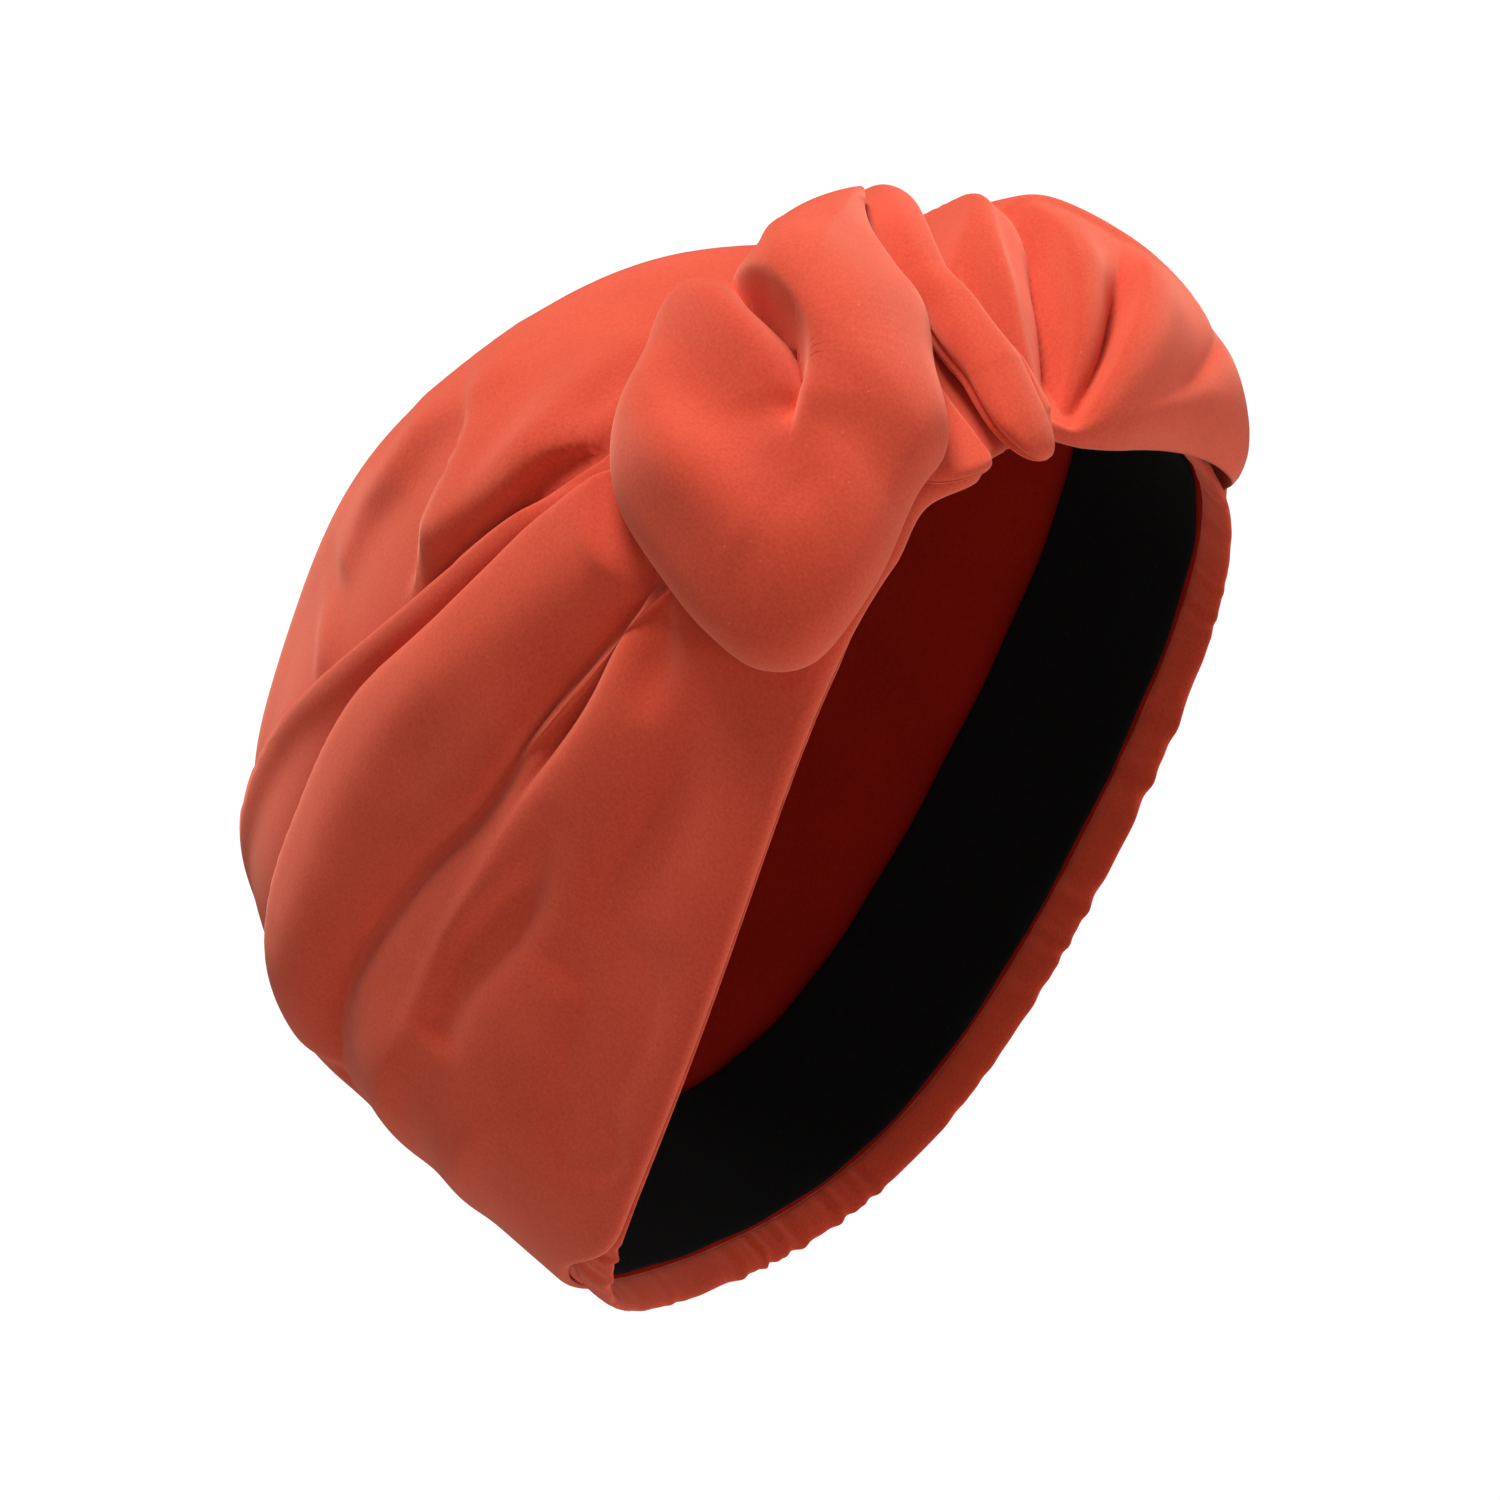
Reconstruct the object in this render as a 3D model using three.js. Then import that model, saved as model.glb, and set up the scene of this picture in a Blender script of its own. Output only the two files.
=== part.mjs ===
import * as THREE from 'three';

// A soft turban with a knot at the front, as it sits on an upright head.
// The wearer faces -Y, so +X is the wearer's left and +Z is up.
// The origin is the middle of the head opening.

// Head opening and crown, in millimetres
const openingHalfWidth = 73;
const openingHalfLength = 100;
const crownDepth = 138;
const rimWave = 4.9;
const rimWaveBack = 1.3;
const crownLean = 11.7;

// How far the plane of the opening leans back, in degrees: the front edge is the high one
const wornPitch = 35;

// Cloth, and the clearance between two layers of it
const clothWall = 1.6;
const clearance = 0.42;
const gatheredWall = 4;

// The wraps part under the roll by this much on each side, and end just short of each other at
// the middle of the back, at this turn in degrees
const partingGap = 0.8;
const backSeamTurn = 179.85;

// Pleats of the side wraps and soft folds of the crown
const pleatHeight = 7;
const pleatWidth = 12;
const crownFoldHeight = 3.2;
const crownFoldWidth = 10;
const gatherHeight = 18;

// Knot
const loopHeight = 19.5;
const loopSeat = 4.1;
const loopEdge = 5.5;
const loopUnderside = 2.5;
const tuckThickness = 3.6;
const rollHeight = 12;
const rollHalfWidth = 6.4;
const rollSeat = 11;
const rollNest = 0.25;

// Inner band and rim casing
const bandWidth = 35;
const bandWall = 1.6;
const hemWidth = 8.6;
const hemThickness = 3.2;
const hemDrop = 1.7;
const hemTuckUp = 5;
const hemBevel = 0.8;

// Shares that give the opening and the crown their form
const rimEgg = 0.09;
const rimSquare = 0.08;
const rimPoint = 0.031;
const riseRound = 2.4;
const planRound = 2.5;
const sideBulge = 0.11;
const backDraw = 0.2;

// Turns, in degrees, between which the fullness, the creases of the gathers, the side folds and
// the folds of either wrap grow and die away, and the share of them that reaches the back
const gatherFade = { start: -20, full: 6, ebb: 18, end: 46 };
const creaseFade = { start: -17, full: -4, ebb: 22, end: 46 };
const sideFade = { start: 36, full: 62 };
const backFade = { start: 120, end: 158 };
const backShare = 0.15;

// Shares of the crown's depth: where the gathers have swelled up over their lower edge, and
// where they die away into the crown
const gatherClimb = 0.22;
const gatherEbb = { start: 0.32, end: 0.56, share: 0.92 };

// How far the form reaches from its axis at the knot, as a share of the opening's half length
const knotReach = 0.84;

// The spread of a wrap's grid: how evenly it runs along the wrap and up it, the rest closing up
// toward the knot and the lower edge
const evenAlong = 0.75;
const evenAcross = 0.35;

const coral = 0xd9553c;
const coralDeep = 0xc94a33;
const black = 0x0b0c0d;

const radians = (degrees) => (degrees * Math.PI) / 180;
const clamp = (value, low, high) => Math.min(high, Math.max(low, value));

function smooth(from, to, value) {
  const share = clamp((value - from) / (to - from), 0, 1);
  return share * share * (3 - 2 * share);
}

// A point on the head form. Turn is in degrees, 0 at the front and positive towards the
// wearer's left. Rise is a share of the crown's depth, 0 at the rim and 1 at the top.
function formPoint(turn, rise) {
  const angle = radians(turn);
  const height = clamp(rise, 0, 0.9999);
  const plan = (1 - height ** riseRound) ** (1 / planRound);
  const swell = rise > 0 ? Math.sin(Math.PI * height) : Math.PI * rise;
  const across =
    (openingHalfWidth * (Math.sin(angle) + rimEgg * Math.sin(2 * angle) + rimSquare * Math.sin(3 * angle))) /
    (1 - rimSquare);
  const along = (-openingHalfLength * (Math.cos(angle) - rimPoint * Math.cos(3 * angle))) / (1 - rimPoint);
  const wave = rimWave * Math.cos(2 * angle) - rimWaveBack * Math.cos(3 * angle);
  const side = 1 + sideBulge * swell;
  const back = side - backDraw * swell * Math.max(0, -Math.cos(angle));
  return new THREE.Vector3(
    across * plan * side,
    along * plan * back + crownLean * height ** 1.5,
    wave * (1 - height) + crownDepth * Math.min(rise, 0.9999),
  );
}

function formNormal(turn, rise) {
  const step = 0.05;
  const riseStep = 0.001;
  const level = Math.min(rise, 0.985);
  const aroundForm = formPoint(turn + step, level).sub(formPoint(turn - step, level));
  const upForm = formPoint(turn, level + riseStep).sub(formPoint(turn, level - riseStep));
  return aroundForm.cross(upForm).normalize();
}

// A point that stands off the head form by lift millimetres
function clothPoint(turn, rise, lift) {
  return formPoint(turn, rise).addScaledVector(formNormal(turn, rise), lift);
}

// A fold follows a path of turn and rise over the form. Its height is given at the start, the
// middle and the end of the path, and its widths to the left and right of it as seen from
// outside by someone who walks along it. A ridge stands up, a hollow is its reverse, and a
// crease is a sharp valley.
const outerFolds = [
  { name: 'upper band', kind: 'ridge', height: [0.15, 0.25, 0.2], left: 0.6, right: 0.6,
    path: [[-56, 0.42], [-66, 0.5], [-78, 0.6], [-92, 0.7], [-108, 0.76], [-130, 0.78], [-160, 0.74]] },
  { name: 'broad fold edge', kind: 'ridge', height: [0.4, 0.62, 0.5], left: 1, right: 0.2,
    path: [[-52, 0.362], [-57, 0.396], [-66, 0.452], [-75, 0.508], [-86, 0.591], [-99, 0.628],
      [-118, 0.64], [-150, 0.56]] },
  { name: 'broad fold swell', kind: 'ridge', height: [0.34, 0.6, 0.37], left: 0.75, right: 0.75,
    path: [[-60, 0.33], [-70, 0.4], [-80, 0.47], [-90, 0.52], [-103, 0.56], [-125, 0.57], [-155, 0.5]] },
  { name: 'deep crease at the knot', kind: 'crease', height: [1, 0.74, 0], left: 0.2, right: 0.38,
    path: [[-57, 0.238], [-60, 0.248], [-65.3, 0.267], [-70.4, 0.293], [-75.3, 0.318], [-82, 0.352]] },
  { name: 'deep crease', kind: 'crease', height: [0.5, 1.2, 0.7], left: 0.25, right: 0.42,
    path: [[-64, 0.262], [-72, 0.3], [-80, 0.34], [-88, 0.374], [-99, 0.449], [-118, 0.504], [-140, 0.49]] },
  { name: 'lip in the crease', kind: 'ridge', height: [0.4, 0.4, 0], left: 0.16, right: 0.18,
    path: [[-58.5, 0.23], [-63.8, 0.252], [-67, 0.268], [-72.8, 0.292], [-78, 0.32], [-88, 0.37]] },
  { name: 'panel edge', kind: 'ridge', height: [0.25, 0.3, 0.12], left: 0.7, right: 0.25,
    path: [[-61, 0.228], [-66, 0.243], [-71.6, 0.248], [-77, 0.262], [-84, 0.292], [-91, 0.312],
      [-105, 0.35], [-130, 0.37]] },
  { name: 'hollow beside the loop', kind: 'hollow', height: [0.7, 0.48, 0], left: 0.33, right: 0.3,
    path: [[-58, 0.225], [-61, 0.225], [-63.4, 0.208], [-67, 0.193], [-73, 0.182]] },
  { name: 'hollow under the panel edge', kind: 'hollow', height: [0.1, 0.7, 0.34], left: 0.42, right: 0.3,
    path: [[-86, 0.25], [-92, 0.262], [-97, 0.285], [-104, 0.317], [-112, 0.325]] },
  { name: 'long soft hollow', kind: 'hollow', height: [0.2, 0.65, 0.23], left: 0.5, right: 0.35,
    path: [[-64, 0.11], [-69, 0.112], [-75, 0.116], [-81, 0.128], [-87, 0.147], [-92, 0.157], [-98, 0.175]] },
  { name: 'hooked hollow', kind: 'hollow', height: [0.05, 0.6, 0.5], left: 0.33, right: 0.38,
    path: [[-88, 0.07], [-97, 0.088], [-104, 0.1], [-109, 0.1], [-112, 0.094], [-115, 0.062]] },
  { name: 'back fold', kind: 'ridge', height: [0, 0.42, 0.28], left: 0.42, right: 0.66,
    path: [[-108, 0.36], [-122, 0.39], [-138, 0.37], [-160, 0.33]] },
  { name: 'low back fold', kind: 'ridge', height: [0, 0.36, 0.28], left: 0.34, right: 0.58,
    path: [[-114, 0.2], [-128, 0.24], [-144, 0.24], [-165, 0.22]] },
];

const gatherFolds = [
  { name: 'valley beside the roll', kind: 'crease', height: [0.1, 0.2, 0.2], left: 0.24, right: 0.24,
    path: [[0, 0.33], [-5, 0.25], [-8, 0.18], [-9.5, 0.1], [-9.5, 0.03], [-9, -0.01]] },
  { name: 'first pleat', kind: 'ridge', height: [0.08, 0.13, 0.09], left: 0.22, right: 0.22,
    path: [[4, 0.34], [-1.5, 0.25], [-5.2, 0.17], [-7.8, 0.09], [-8.6, 0.02]] },
  { name: 'main valley', kind: 'crease', height: [0.16, 0.5, 0.36], left: 0.3, right: 0.46,
    path: [[12, 0.38], [8, 0.317], [3, 0.26], [-1, 0.2], [-4, 0.133], [-6.5, 0.067], [-8, 0.01]] },
  { name: 'main pleat', kind: 'ridge', height: [0.09, 0.14, 0.09], left: 0.42, right: 0.22,
    path: [[17, 0.39], [12.5, 0.32], [8, 0.255], [4, 0.195], [0.4, 0.128], [-3.6, 0.062], [-6.4, 0.02]] },
  { name: 'notch', kind: 'crease', height: [0.03, 0.48, 0.36], left: 0.38, right: 0.26,
    path: [[19, 0.25], [13, 0.2], [8.3, 0.145], [2, 0.085], [-3, 0.037], [-7, 0]] },
  { name: 'outer pleat', kind: 'ridge', height: [0, 0.15, 0.11], left: 0.24, right: 0.45,
    path: [[28, 0.28], [21, 0.2], [15, 0.125], [7, 0.06], [-1, 0.01], [-6, -0.01]] },
  { name: 'outer valley', kind: 'crease', height: [0.02, 0.14, 0.11], left: 0.24, right: 0.3,
    path: [[31, 0.24], [25, 0.15], [18, 0.08], [9, 0.025], [0, -0.008]] },
  { name: 'last pleat', kind: 'ridge', height: [0, 0.12, 0.08], left: 0.28, right: 0.34,
    path: [[38, 0.2], [30, 0.1], [22, 0.03], [12, -0.01]] },
];

const crownFolds = [
  { name: 'long ridge', kind: 'ridge', height: [0.5, 1, 0.6], left: 0.7, right: 0.5,
    path: [[-40, 0.72], [-46, 0.69], [-58, 0.641], [-66, 0.626], [-78, 0.63]] },
  { name: 'upper ridge', kind: 'ridge', height: [0.5, 0.9, 0.3], left: 0.4, right: 0.7,
    path: [[-42, 0.73], [-53, 0.72], [-60, 0.722], [-67, 0.735], [-76, 0.78]] },
  { name: 'small pleat', kind: 'ridge', height: [0.2, 0.9, 0.5], left: 0.5, right: 0.3, bothSides: true,
    path: [[-80, 0.84], [-85, 0.798], [-88, 0.774], [-93, 0.75]] },
  { name: 'soft ridge', kind: 'ridge', height: [0.4, 0.7, 0.5], left: 0.7, right: 0.9,
    path: [[-26, 0.54], [-38, 0.53], [-48, 0.54], [-57, 0.575], [-66, 0.61]] },
  { name: 'ridge above the pinch', kind: 'ridge', height: [0.6, 1, 0.4], left: 0.35, right: 0.7,
    path: [[-46, 0.43], [-50, 0.489], [-54, 0.525], [-60, 0.551], [-68, 0.585]] },
  { name: 'top fold', kind: 'ridge', height: [0.1, 0.5, 0.6], left: 0.9, right: 0.9, bothSides: true,
    path: [[-30, 0.74], [-50, 0.83], [-84, 0.93], [-130, 0.93]] },
  { name: 'front swell', kind: 'ridge', height: [0.2, 1.6, 1.1], left: 2.2, right: 2.4,
    path: [[-48, 0.78], [-30, 0.73], [-10, 0.66], [6, 0.61], [26, 0.62]] },
];

// Where the two wraps start and end, from the knot to the back of the head
const wrapUpperEdge = [
  [-14, 0.43], [-30, 0.4], [-45, 0.38], [-51, 0.403], [-54.5, 0.43], [-58, 0.458], [-62, 0.495],
  [-65, 0.52], [-70, 0.557], [-75, 0.6], [-80, 0.645], [-86, 0.7], [-93, 0.755], [-101, 0.801],
  [-112, 0.845], [-130, 0.85], [-150, 0.82], [-180, 0.78],
];
const gatherUpperEdge = [
  [-20, 0.44], [0, 0.5], [12, 0.56], [30, 0.62], [60, 0.69], [90, 0.76], [112, 0.83], [130, 0.85],
  [150, 0.82], [180, 0.78],
];
const wrapLowerEdge = [
  [-14, 0.014], [-21, 0.012], [-25, -0.004], [-33, 0.01], [-42, -0.01],
  [-120, -0.012], [-130, -0.005], [-142, 0.05], [-180, 0.052],
];
const gatherLowerEdge = [
  [-20, 0.014], [-12, 0.012], [-7, -0.02], [0, -0.036], [26, -0.034], [33, -0.012], [40, 0.024],
  [90, 0.028], [140, 0.04], [180, 0.052],
];

// The roll's middle line, with its height over the form, its half width and its own height there
// as shares of rollSeat, rollHalfWidth and rollHeight
const rollPath = [
  { turn: 5, rise: 0.5, lift: 1.04, width: 0.85, height: 1.05 },
  { turn: -1, rise: 0.42, lift: 1.07, width: 0.95, height: 1.1 },
  { turn: -8, rise: 0.33, lift: 1.05, width: 0.85, height: 1.08 },
  { turn: -12.5, rise: 0.25, lift: 0.95, width: 0.72, height: 1 },
  { turn: -14, rise: 0.19, lift: 0.92, width: 0.75, height: 1.05 },
  { turn: -15.8, rise: 0.14, lift: 0.9, width: 0.95, height: 1.05 },
  { turn: -16.3, rise: 0.09, lift: 0.85, width: 1.15, height: 1 },
  { turn: -17.5, rise: 0.02, lift: 0.67, width: 1.25, height: 0.8 },
  { turn: -16.5, rise: -0.035, lift: 0.43, width: 1.05, height: 0.6 },
];

// Grooves between the strands of the roll: the angle round it at the top and at the foot and the
// width in degrees, and the depth as a share of its half height
const rollGrooves = [
  { top: 30, foot: 118, depth: 0.3, width: 22 },
  { top: -44, foot: 20, depth: 0.18, width: 22 },
  { top: 215, foot: 300, depth: 0.22, width: 24 },
];

// Outlines of the loop and the tuck over the form
const loopOutline = [
  [-3, 0.43], [-10, 0.435], [-20, 0.415], [-28, 0.378], [-34, 0.422], [-42, 0.404], [-50, 0.37], [-55, 0.319],
  [-59, 0.219], [-61, 0.137], [-61, 0.063], [-57, 0.005], [-46, -0.012], [-36, 0.015], [-30, 0.03],
  [-24, 0.115], [-18.6, 0.189], [-16.2, 0.26], [-12.3, 0.34], [-6, 0.41],
];
const tuckOutline = [
  [-17.6, 0.2], [-22, 0.22], [-28, 0.18], [-34, 0.09], [-32, 0.02], [-24.8, -0.01], [-23.8, 0.02],
  [-22, 0.09], [-20.6, 0.14],
];
const loopFolds = [
  { name: 'fold over the pocket', kind: 'ridge', height: [0.1, 0.22, 0.1], left: 0.8, right: 0.18,
    path: [[-26, 0.4], [-29, 0.37], [-30.8, 0.323], [-31.9, 0.274], [-33.5, 0.22], [-35.6, 0.187]] },
  { name: 'pocket', kind: 'crease', height: [0.36, 0.58, 0.34], left: 0.18, right: 0.62,
    path: [[-27.5, 0.4], [-30, 0.36], [-32, 0.32], [-33.2, 0.272], [-34.8, 0.222], [-36.8, 0.19]] },
  { name: 'tongue', kind: 'ridge', height: [0.1, 0.17, 0.08], left: 0.3, right: 0.5,
    path: [[-32, 0.4], [-35, 0.332], [-36.6, 0.292], [-38, 0.248], [-39, 0.208]] },
  { name: 'trough', kind: 'hollow', height: [0.05, 0.25, 0.1], left: 0.42, right: 0.5,
    path: [[-38, 0.38], [-41, 0.305], [-42.6, 0.239], [-44, 0.176], [-45.5, 0.12]] },
  { name: 'left lobe', kind: 'ridge', height: [0.1, 0.19, 0.08], left: 0.42, right: 0.5,
    path: [[-45, 0.36], [-47.4, 0.306], [-48.6, 0.247], [-49, 0.199], [-49.5, 0.14]] },
];

const mirrored = (fold) => ({
  ...fold,
  left: fold.right,
  right: fold.left,
  path: fold.path.map(([turn, rise]) => [-turn, rise]),
});

// A value read from a table of [turn, value] rows, in between them along a smooth curve
function trace(table, turn) {
  const forward = table[table.length - 1][0] > table[0][0] ? 1 : -1;
  const at = clamp(turn * forward, table[0][0] * forward, table[table.length - 1][0] * forward) * forward;
  let row = 0;
  while (row < table.length - 2 && (at - table[row + 1][0]) * forward > 0) row += 1;
  const slope = (index) => {
    const before = table[Math.max(index - 1, 0)];
    const after = table[Math.min(index + 1, table.length - 1)];
    return (after[1] - before[1]) / (after[0] - before[0]);
  };
  const [x0, y0] = table[row];
  const [x1, y1] = table[row + 1];
  const span = x1 - x0;
  const share = (at - x0) / span;
  const square = share * share;
  const cube = square * share;
  return (
    y0 * (2 * cube - 3 * square + 1) +
    y1 * (3 * square - 2 * cube) +
    slope(row) * span * (cube - 2 * square + share) +
    slope(row + 1) * span * (cube - square)
  );
}

// A smooth path over the form, as points with the share of its length that each lies at
function layPath(rows) {
  const plan = new THREE.CatmullRomCurve3(rows.map(([turn, rise]) => new THREE.Vector3(turn, rise * 100, 0)));
  const points = plan.getPoints(4 * (rows.length - 1)).map((row) => formPoint(row.x, row.y / 100));
  const shares = [0];
  for (let index = 1; index < points.length; index += 1) {
    shares.push(shares[index - 1] + points[index].distanceTo(points[index - 1]));
  }
  const length = shares[shares.length - 1];
  return { points, shares: shares.map((reach) => reach / length), length };
}

const segment = new THREE.Vector3();
const reach = new THREE.Vector3();

// How far a point is from a path, on which side of it, and how far along
function measureToPath(point, normal, path) {
  let best = { distance: Infinity, side: 1, share: 0 };
  for (let index = 0; index + 1 < path.points.length; index += 1) {
    segment.subVectors(path.points[index + 1], path.points[index]);
    reach.subVectors(point, path.points[index]);
    const along = clamp(reach.dot(segment) / segment.lengthSq(), 0, 1);
    reach.addScaledVector(segment, -along);
    const distance = reach.length();
    if (distance < best.distance) {
      const left = normal.clone().cross(segment).dot(reach) >= 0;
      const share = path.shares[index] + along * (path.shares[index + 1] - path.shares[index]);
      best = { distance, side: left ? 1 : -1, share };
    }
  }
  return best;
}

function layFolds(folds, height, width) {
  return folds.map((fold) => ({ ...fold, route: layPath(fold.path), unitHeight: height, unitWidth: width }));
}

// The height that a set of folds adds at one place
function foldLift(folds, turn, rise) {
  const point = formPoint(turn, rise);
  const normal = formNormal(turn, rise);
  let lift = 0;
  for (const fold of folds) {
    const { distance, side, share } = measureToPath(point, normal, fold.route);
    const width = fold.unitWidth * (side > 0 ? fold.left : fold.right);
    if (distance > 3.5 * width) continue;
    const [start, middle, end] = fold.height;
    const height = share < 0.5
      ? start + (middle - start) * smooth(0, 0.5, share)
      : middle + (end - middle) * smooth(0.5, 1, share);
    const across = distance / width;
    if (fold.kind === 'ridge') lift += fold.unitHeight * height * Math.exp(-across * across);
    if (fold.kind === 'hollow') lift -= fold.unitHeight * height * Math.exp(-across * across);
    if (fold.kind === 'crease') lift -= fold.unitHeight * height * Math.exp(-across);
  }
  return lift;
}

const outerSet = layFolds(outerFolds, pleatHeight, pleatWidth);
const outerLeftSet = layFolds(outerFolds.map(mirrored), pleatHeight, pleatWidth);
const gatherSet = layFolds(gatherFolds, gatherHeight, pleatWidth);
const bothSides = crownFolds.filter((fold) => fold.bothSides).map(mirrored);
const crownSet = layFolds([...crownFolds, ...bothSides], crownFoldHeight, crownFoldWidth);
const loopSet = layFolds(loopFolds, loopHeight, pleatWidth);

// An outline over the form as its distance from a middle in each direction, in millimetres
function outlineAround(rows, middle) {
  const millimetresPerDegree = radians(openingHalfLength * knotReach);
  const toPlan = ([turn, rise]) =>
    new THREE.Vector3((turn - middle[0]) * millimetresPerDegree, (rise - middle[1]) * crownDepth, 0);
  const curve = new THREE.CatmullRomCurve3(rows.map(toPlan), true, 'centripetal');
  const samples = curve.getPoints(240).map((spot) => ({ angle: Math.atan2(spot.y, spot.x), radius: spot.length() }));
  samples.sort((one, other) => one.angle - other.angle);
  const radiusAt = (angle) => {
    const turned = Math.atan2(Math.sin(angle), Math.cos(angle));
    const next = samples.findIndex((sample) => sample.angle >= turned);
    const after = next < 0 ? { ...samples[0], angle: samples[0].angle + 2 * Math.PI } : samples[next];
    const last = samples[samples.length - 1];
    const before = next > 0 ? samples[next - 1] : next < 0 ? last : { ...last, angle: last.angle - 2 * Math.PI };
    const gap = after.angle - before.angle;
    const share = gap > 1e-9 ? (turned - before.angle) / gap : 0;
    return before.radius + (after.radius - before.radius) * share;
  };
  return {
    radiusAt,
    place: (angle, share) => {
      const radius = radiusAt(angle) * share;
      return [
        middle[0] + (radius * Math.cos(angle)) / millimetresPerDegree,
        middle[1] + (radius * Math.sin(angle)) / crownDepth,
      ];
    },
    shareAt: (turn, rise) => {
      const spot = toPlan([turn, rise]);
      return spot.length() / radiusAt(Math.atan2(spot.y, spot.x));
    },
  };
}

const loopMiddle = [-37, 0.21];
const tuckMiddle = [-25.5, 0.1];
const loopPlan = outlineAround(loopOutline, loopMiddle);
const tuckPlan = outlineAround(tuckOutline, tuckMiddle);
const rollRoute = layPath(rollPath.map(({ turn, rise }) => [turn, rise]));

function rollValue(name, share) {
  const at = clamp(share, 0, 1) * (rollPath.length - 1);
  const row = Math.min(Math.floor(at), rollPath.length - 2);
  return rollPath[row][name] + (rollPath[row + 1][name] - rollPath[row][name]) * (at - row);
}

// Lifts of the layers, from the form outwards
function crownLift(turn, rise) {
  const edge = turn < -14 ? trace(wrapUpperEdge, turn) : trace(gatherUpperEdge, turn);
  return Math.max(0, foldLift(crownSet, turn, rise)) * smooth(edge - 0.005, edge + 0.065, rise);
}

// The height that clears the crown for a layer laid over it
function overCrown(turn, rise) {
  const steps = [[0, 0], [0, -0.05], [0, 0.05], [-4, 0], [4, 0]];
  const around = steps.map(([turnStep, riseStep]) => crownLift(turn + turnStep, Math.min(rise + riseStep, 0.99)));
  return Math.max(...around) + clearance;
}

// Beside the roll the cloth is drawn in beneath it
function underRoll(turn, rise, lift) {
  const { distance, share } = measureToPath(formPoint(turn, rise), formNormal(turn, rise), rollRoute);
  const halfWidth = rollHalfWidth * rollValue('width', share);
  const halfHeight = (rollHeight / 2) * rollValue('height', share);
  const underside = rollSeat * rollValue('lift', share) - halfHeight + rollNest;
  const slope = 3 * Math.max(0, distance - halfWidth - 3 * clearance);
  return Math.min(lift, underside + slope);
}

// Under the loop and the tuck it lies flat
const flatLift = clearance + 1.9 * clothWall;

function underKnot(turn, rise, lift) {
  const underLoop = 1 - smooth(1, 1.14, loopPlan.shareAt(turn, rise));
  const cover = Math.max(underLoop, smooth(-44, -37, turn));
  return lift + (Math.min(lift, flatLift) - lift) * cover;
}

function wrapLift(turn, rise) {
  const low = trace(wrapLowerEdge, turn);
  const high = trace(wrapUpperEdge, turn);
  const across = clamp((rise - low) / (high - low), 0, 1);
  const settled = smooth(-backFade.end, -backFade.start, turn);
  const fullAt = 0.25 * smooth(-145, -110, turn) + 0.34 * smooth(-104, -76, turn);
  const puff = pleatHeight * fullAt * Math.sin(Math.PI * across) ** 0.6;
  const folds = foldLift(outerSet, turn, rise) * smooth(0, 0.06, across) * (backShare + (1 - backShare) * settled);
  const floor = overCrown(turn, rise);
  const lift = Math.max(clearance + clothWall + puff + folds, floor + 0.8 * clothWall);
  return underRoll(turn, rise, underKnot(turn, rise, lift));
}

function gatherLift(turn, rise) {
  const low = trace(gatherLowerEdge, turn);
  const high = trace(gatherUpperEdge, turn);
  const across = clamp((rise - low) / (high - low), 0, 1);
  const between = ({ start, full, ebb, end: last }) => smooth(start, full, turn) * (1 - smooth(ebb, last, turn));
  const climb = clamp((rise - low) / gatherClimb, 0, 1);
  const rounded = Math.sqrt(1 - (1 - climb) ** 2);
  const ebb = 1 - gatherEbb.share * smooth(gatherEbb.start, gatherEbb.end, rise);
  const swell = gatherHeight * between(gatherFade) * rounded * ebb;
  const pleats = foldLift(gatherSet, turn, rise) * between(creaseFade) * smooth(0, 0.25, climb);
  const settled = smooth(backFade.end, backFade.start, turn);
  const beside = smooth(sideFade.start, sideFade.full, turn) * (backShare + (1 - backShare) * settled);
  const puff = 0.25 * pleatHeight * Math.sin(Math.PI * across);
  const sideFolds = foldLift(outerLeftSet, turn, rise) * smooth(0, 0.06, across) * beside;
  const floor = overCrown(turn, rise);
  const lift = Math.max(clearance + clothWall + puff + swell + pleats + sideFolds, floor + 0.8 * clothWall);
  return underRoll(turn, rise, lift);
}

const tuckSeat = flatLift + clearance;
const loopSeatOver = (turn) => loopSeat + (tuckSeat + tuckThickness + clearance - loopSeat) * smooth(-40, -33, turn);

// Turns a list of corner positions and triangles into a closed geometry that faces outwards
function closedGeometry(positions, triangles) {
  let volume = 0;
  const triple = new THREE.Vector3();
  for (const [a, b, c] of triangles) {
    volume += positions[a].dot(triple.crossVectors(positions[b], positions[c])) / 6;
  }
  const faces = volume > 0 ? triangles : triangles.map(([a, b, c]) => [a, c, b]);
  const geometry = new THREE.BufferGeometry();
  geometry.setAttribute(
    'position',
    new THREE.Float32BufferAttribute(positions.flatMap(({ x, y, z }) => [x, y, z]), 3),
  );
  geometry.setIndex(faces.flat());
  geometry.computeVertexNormals();
  return geometry;
}

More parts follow.
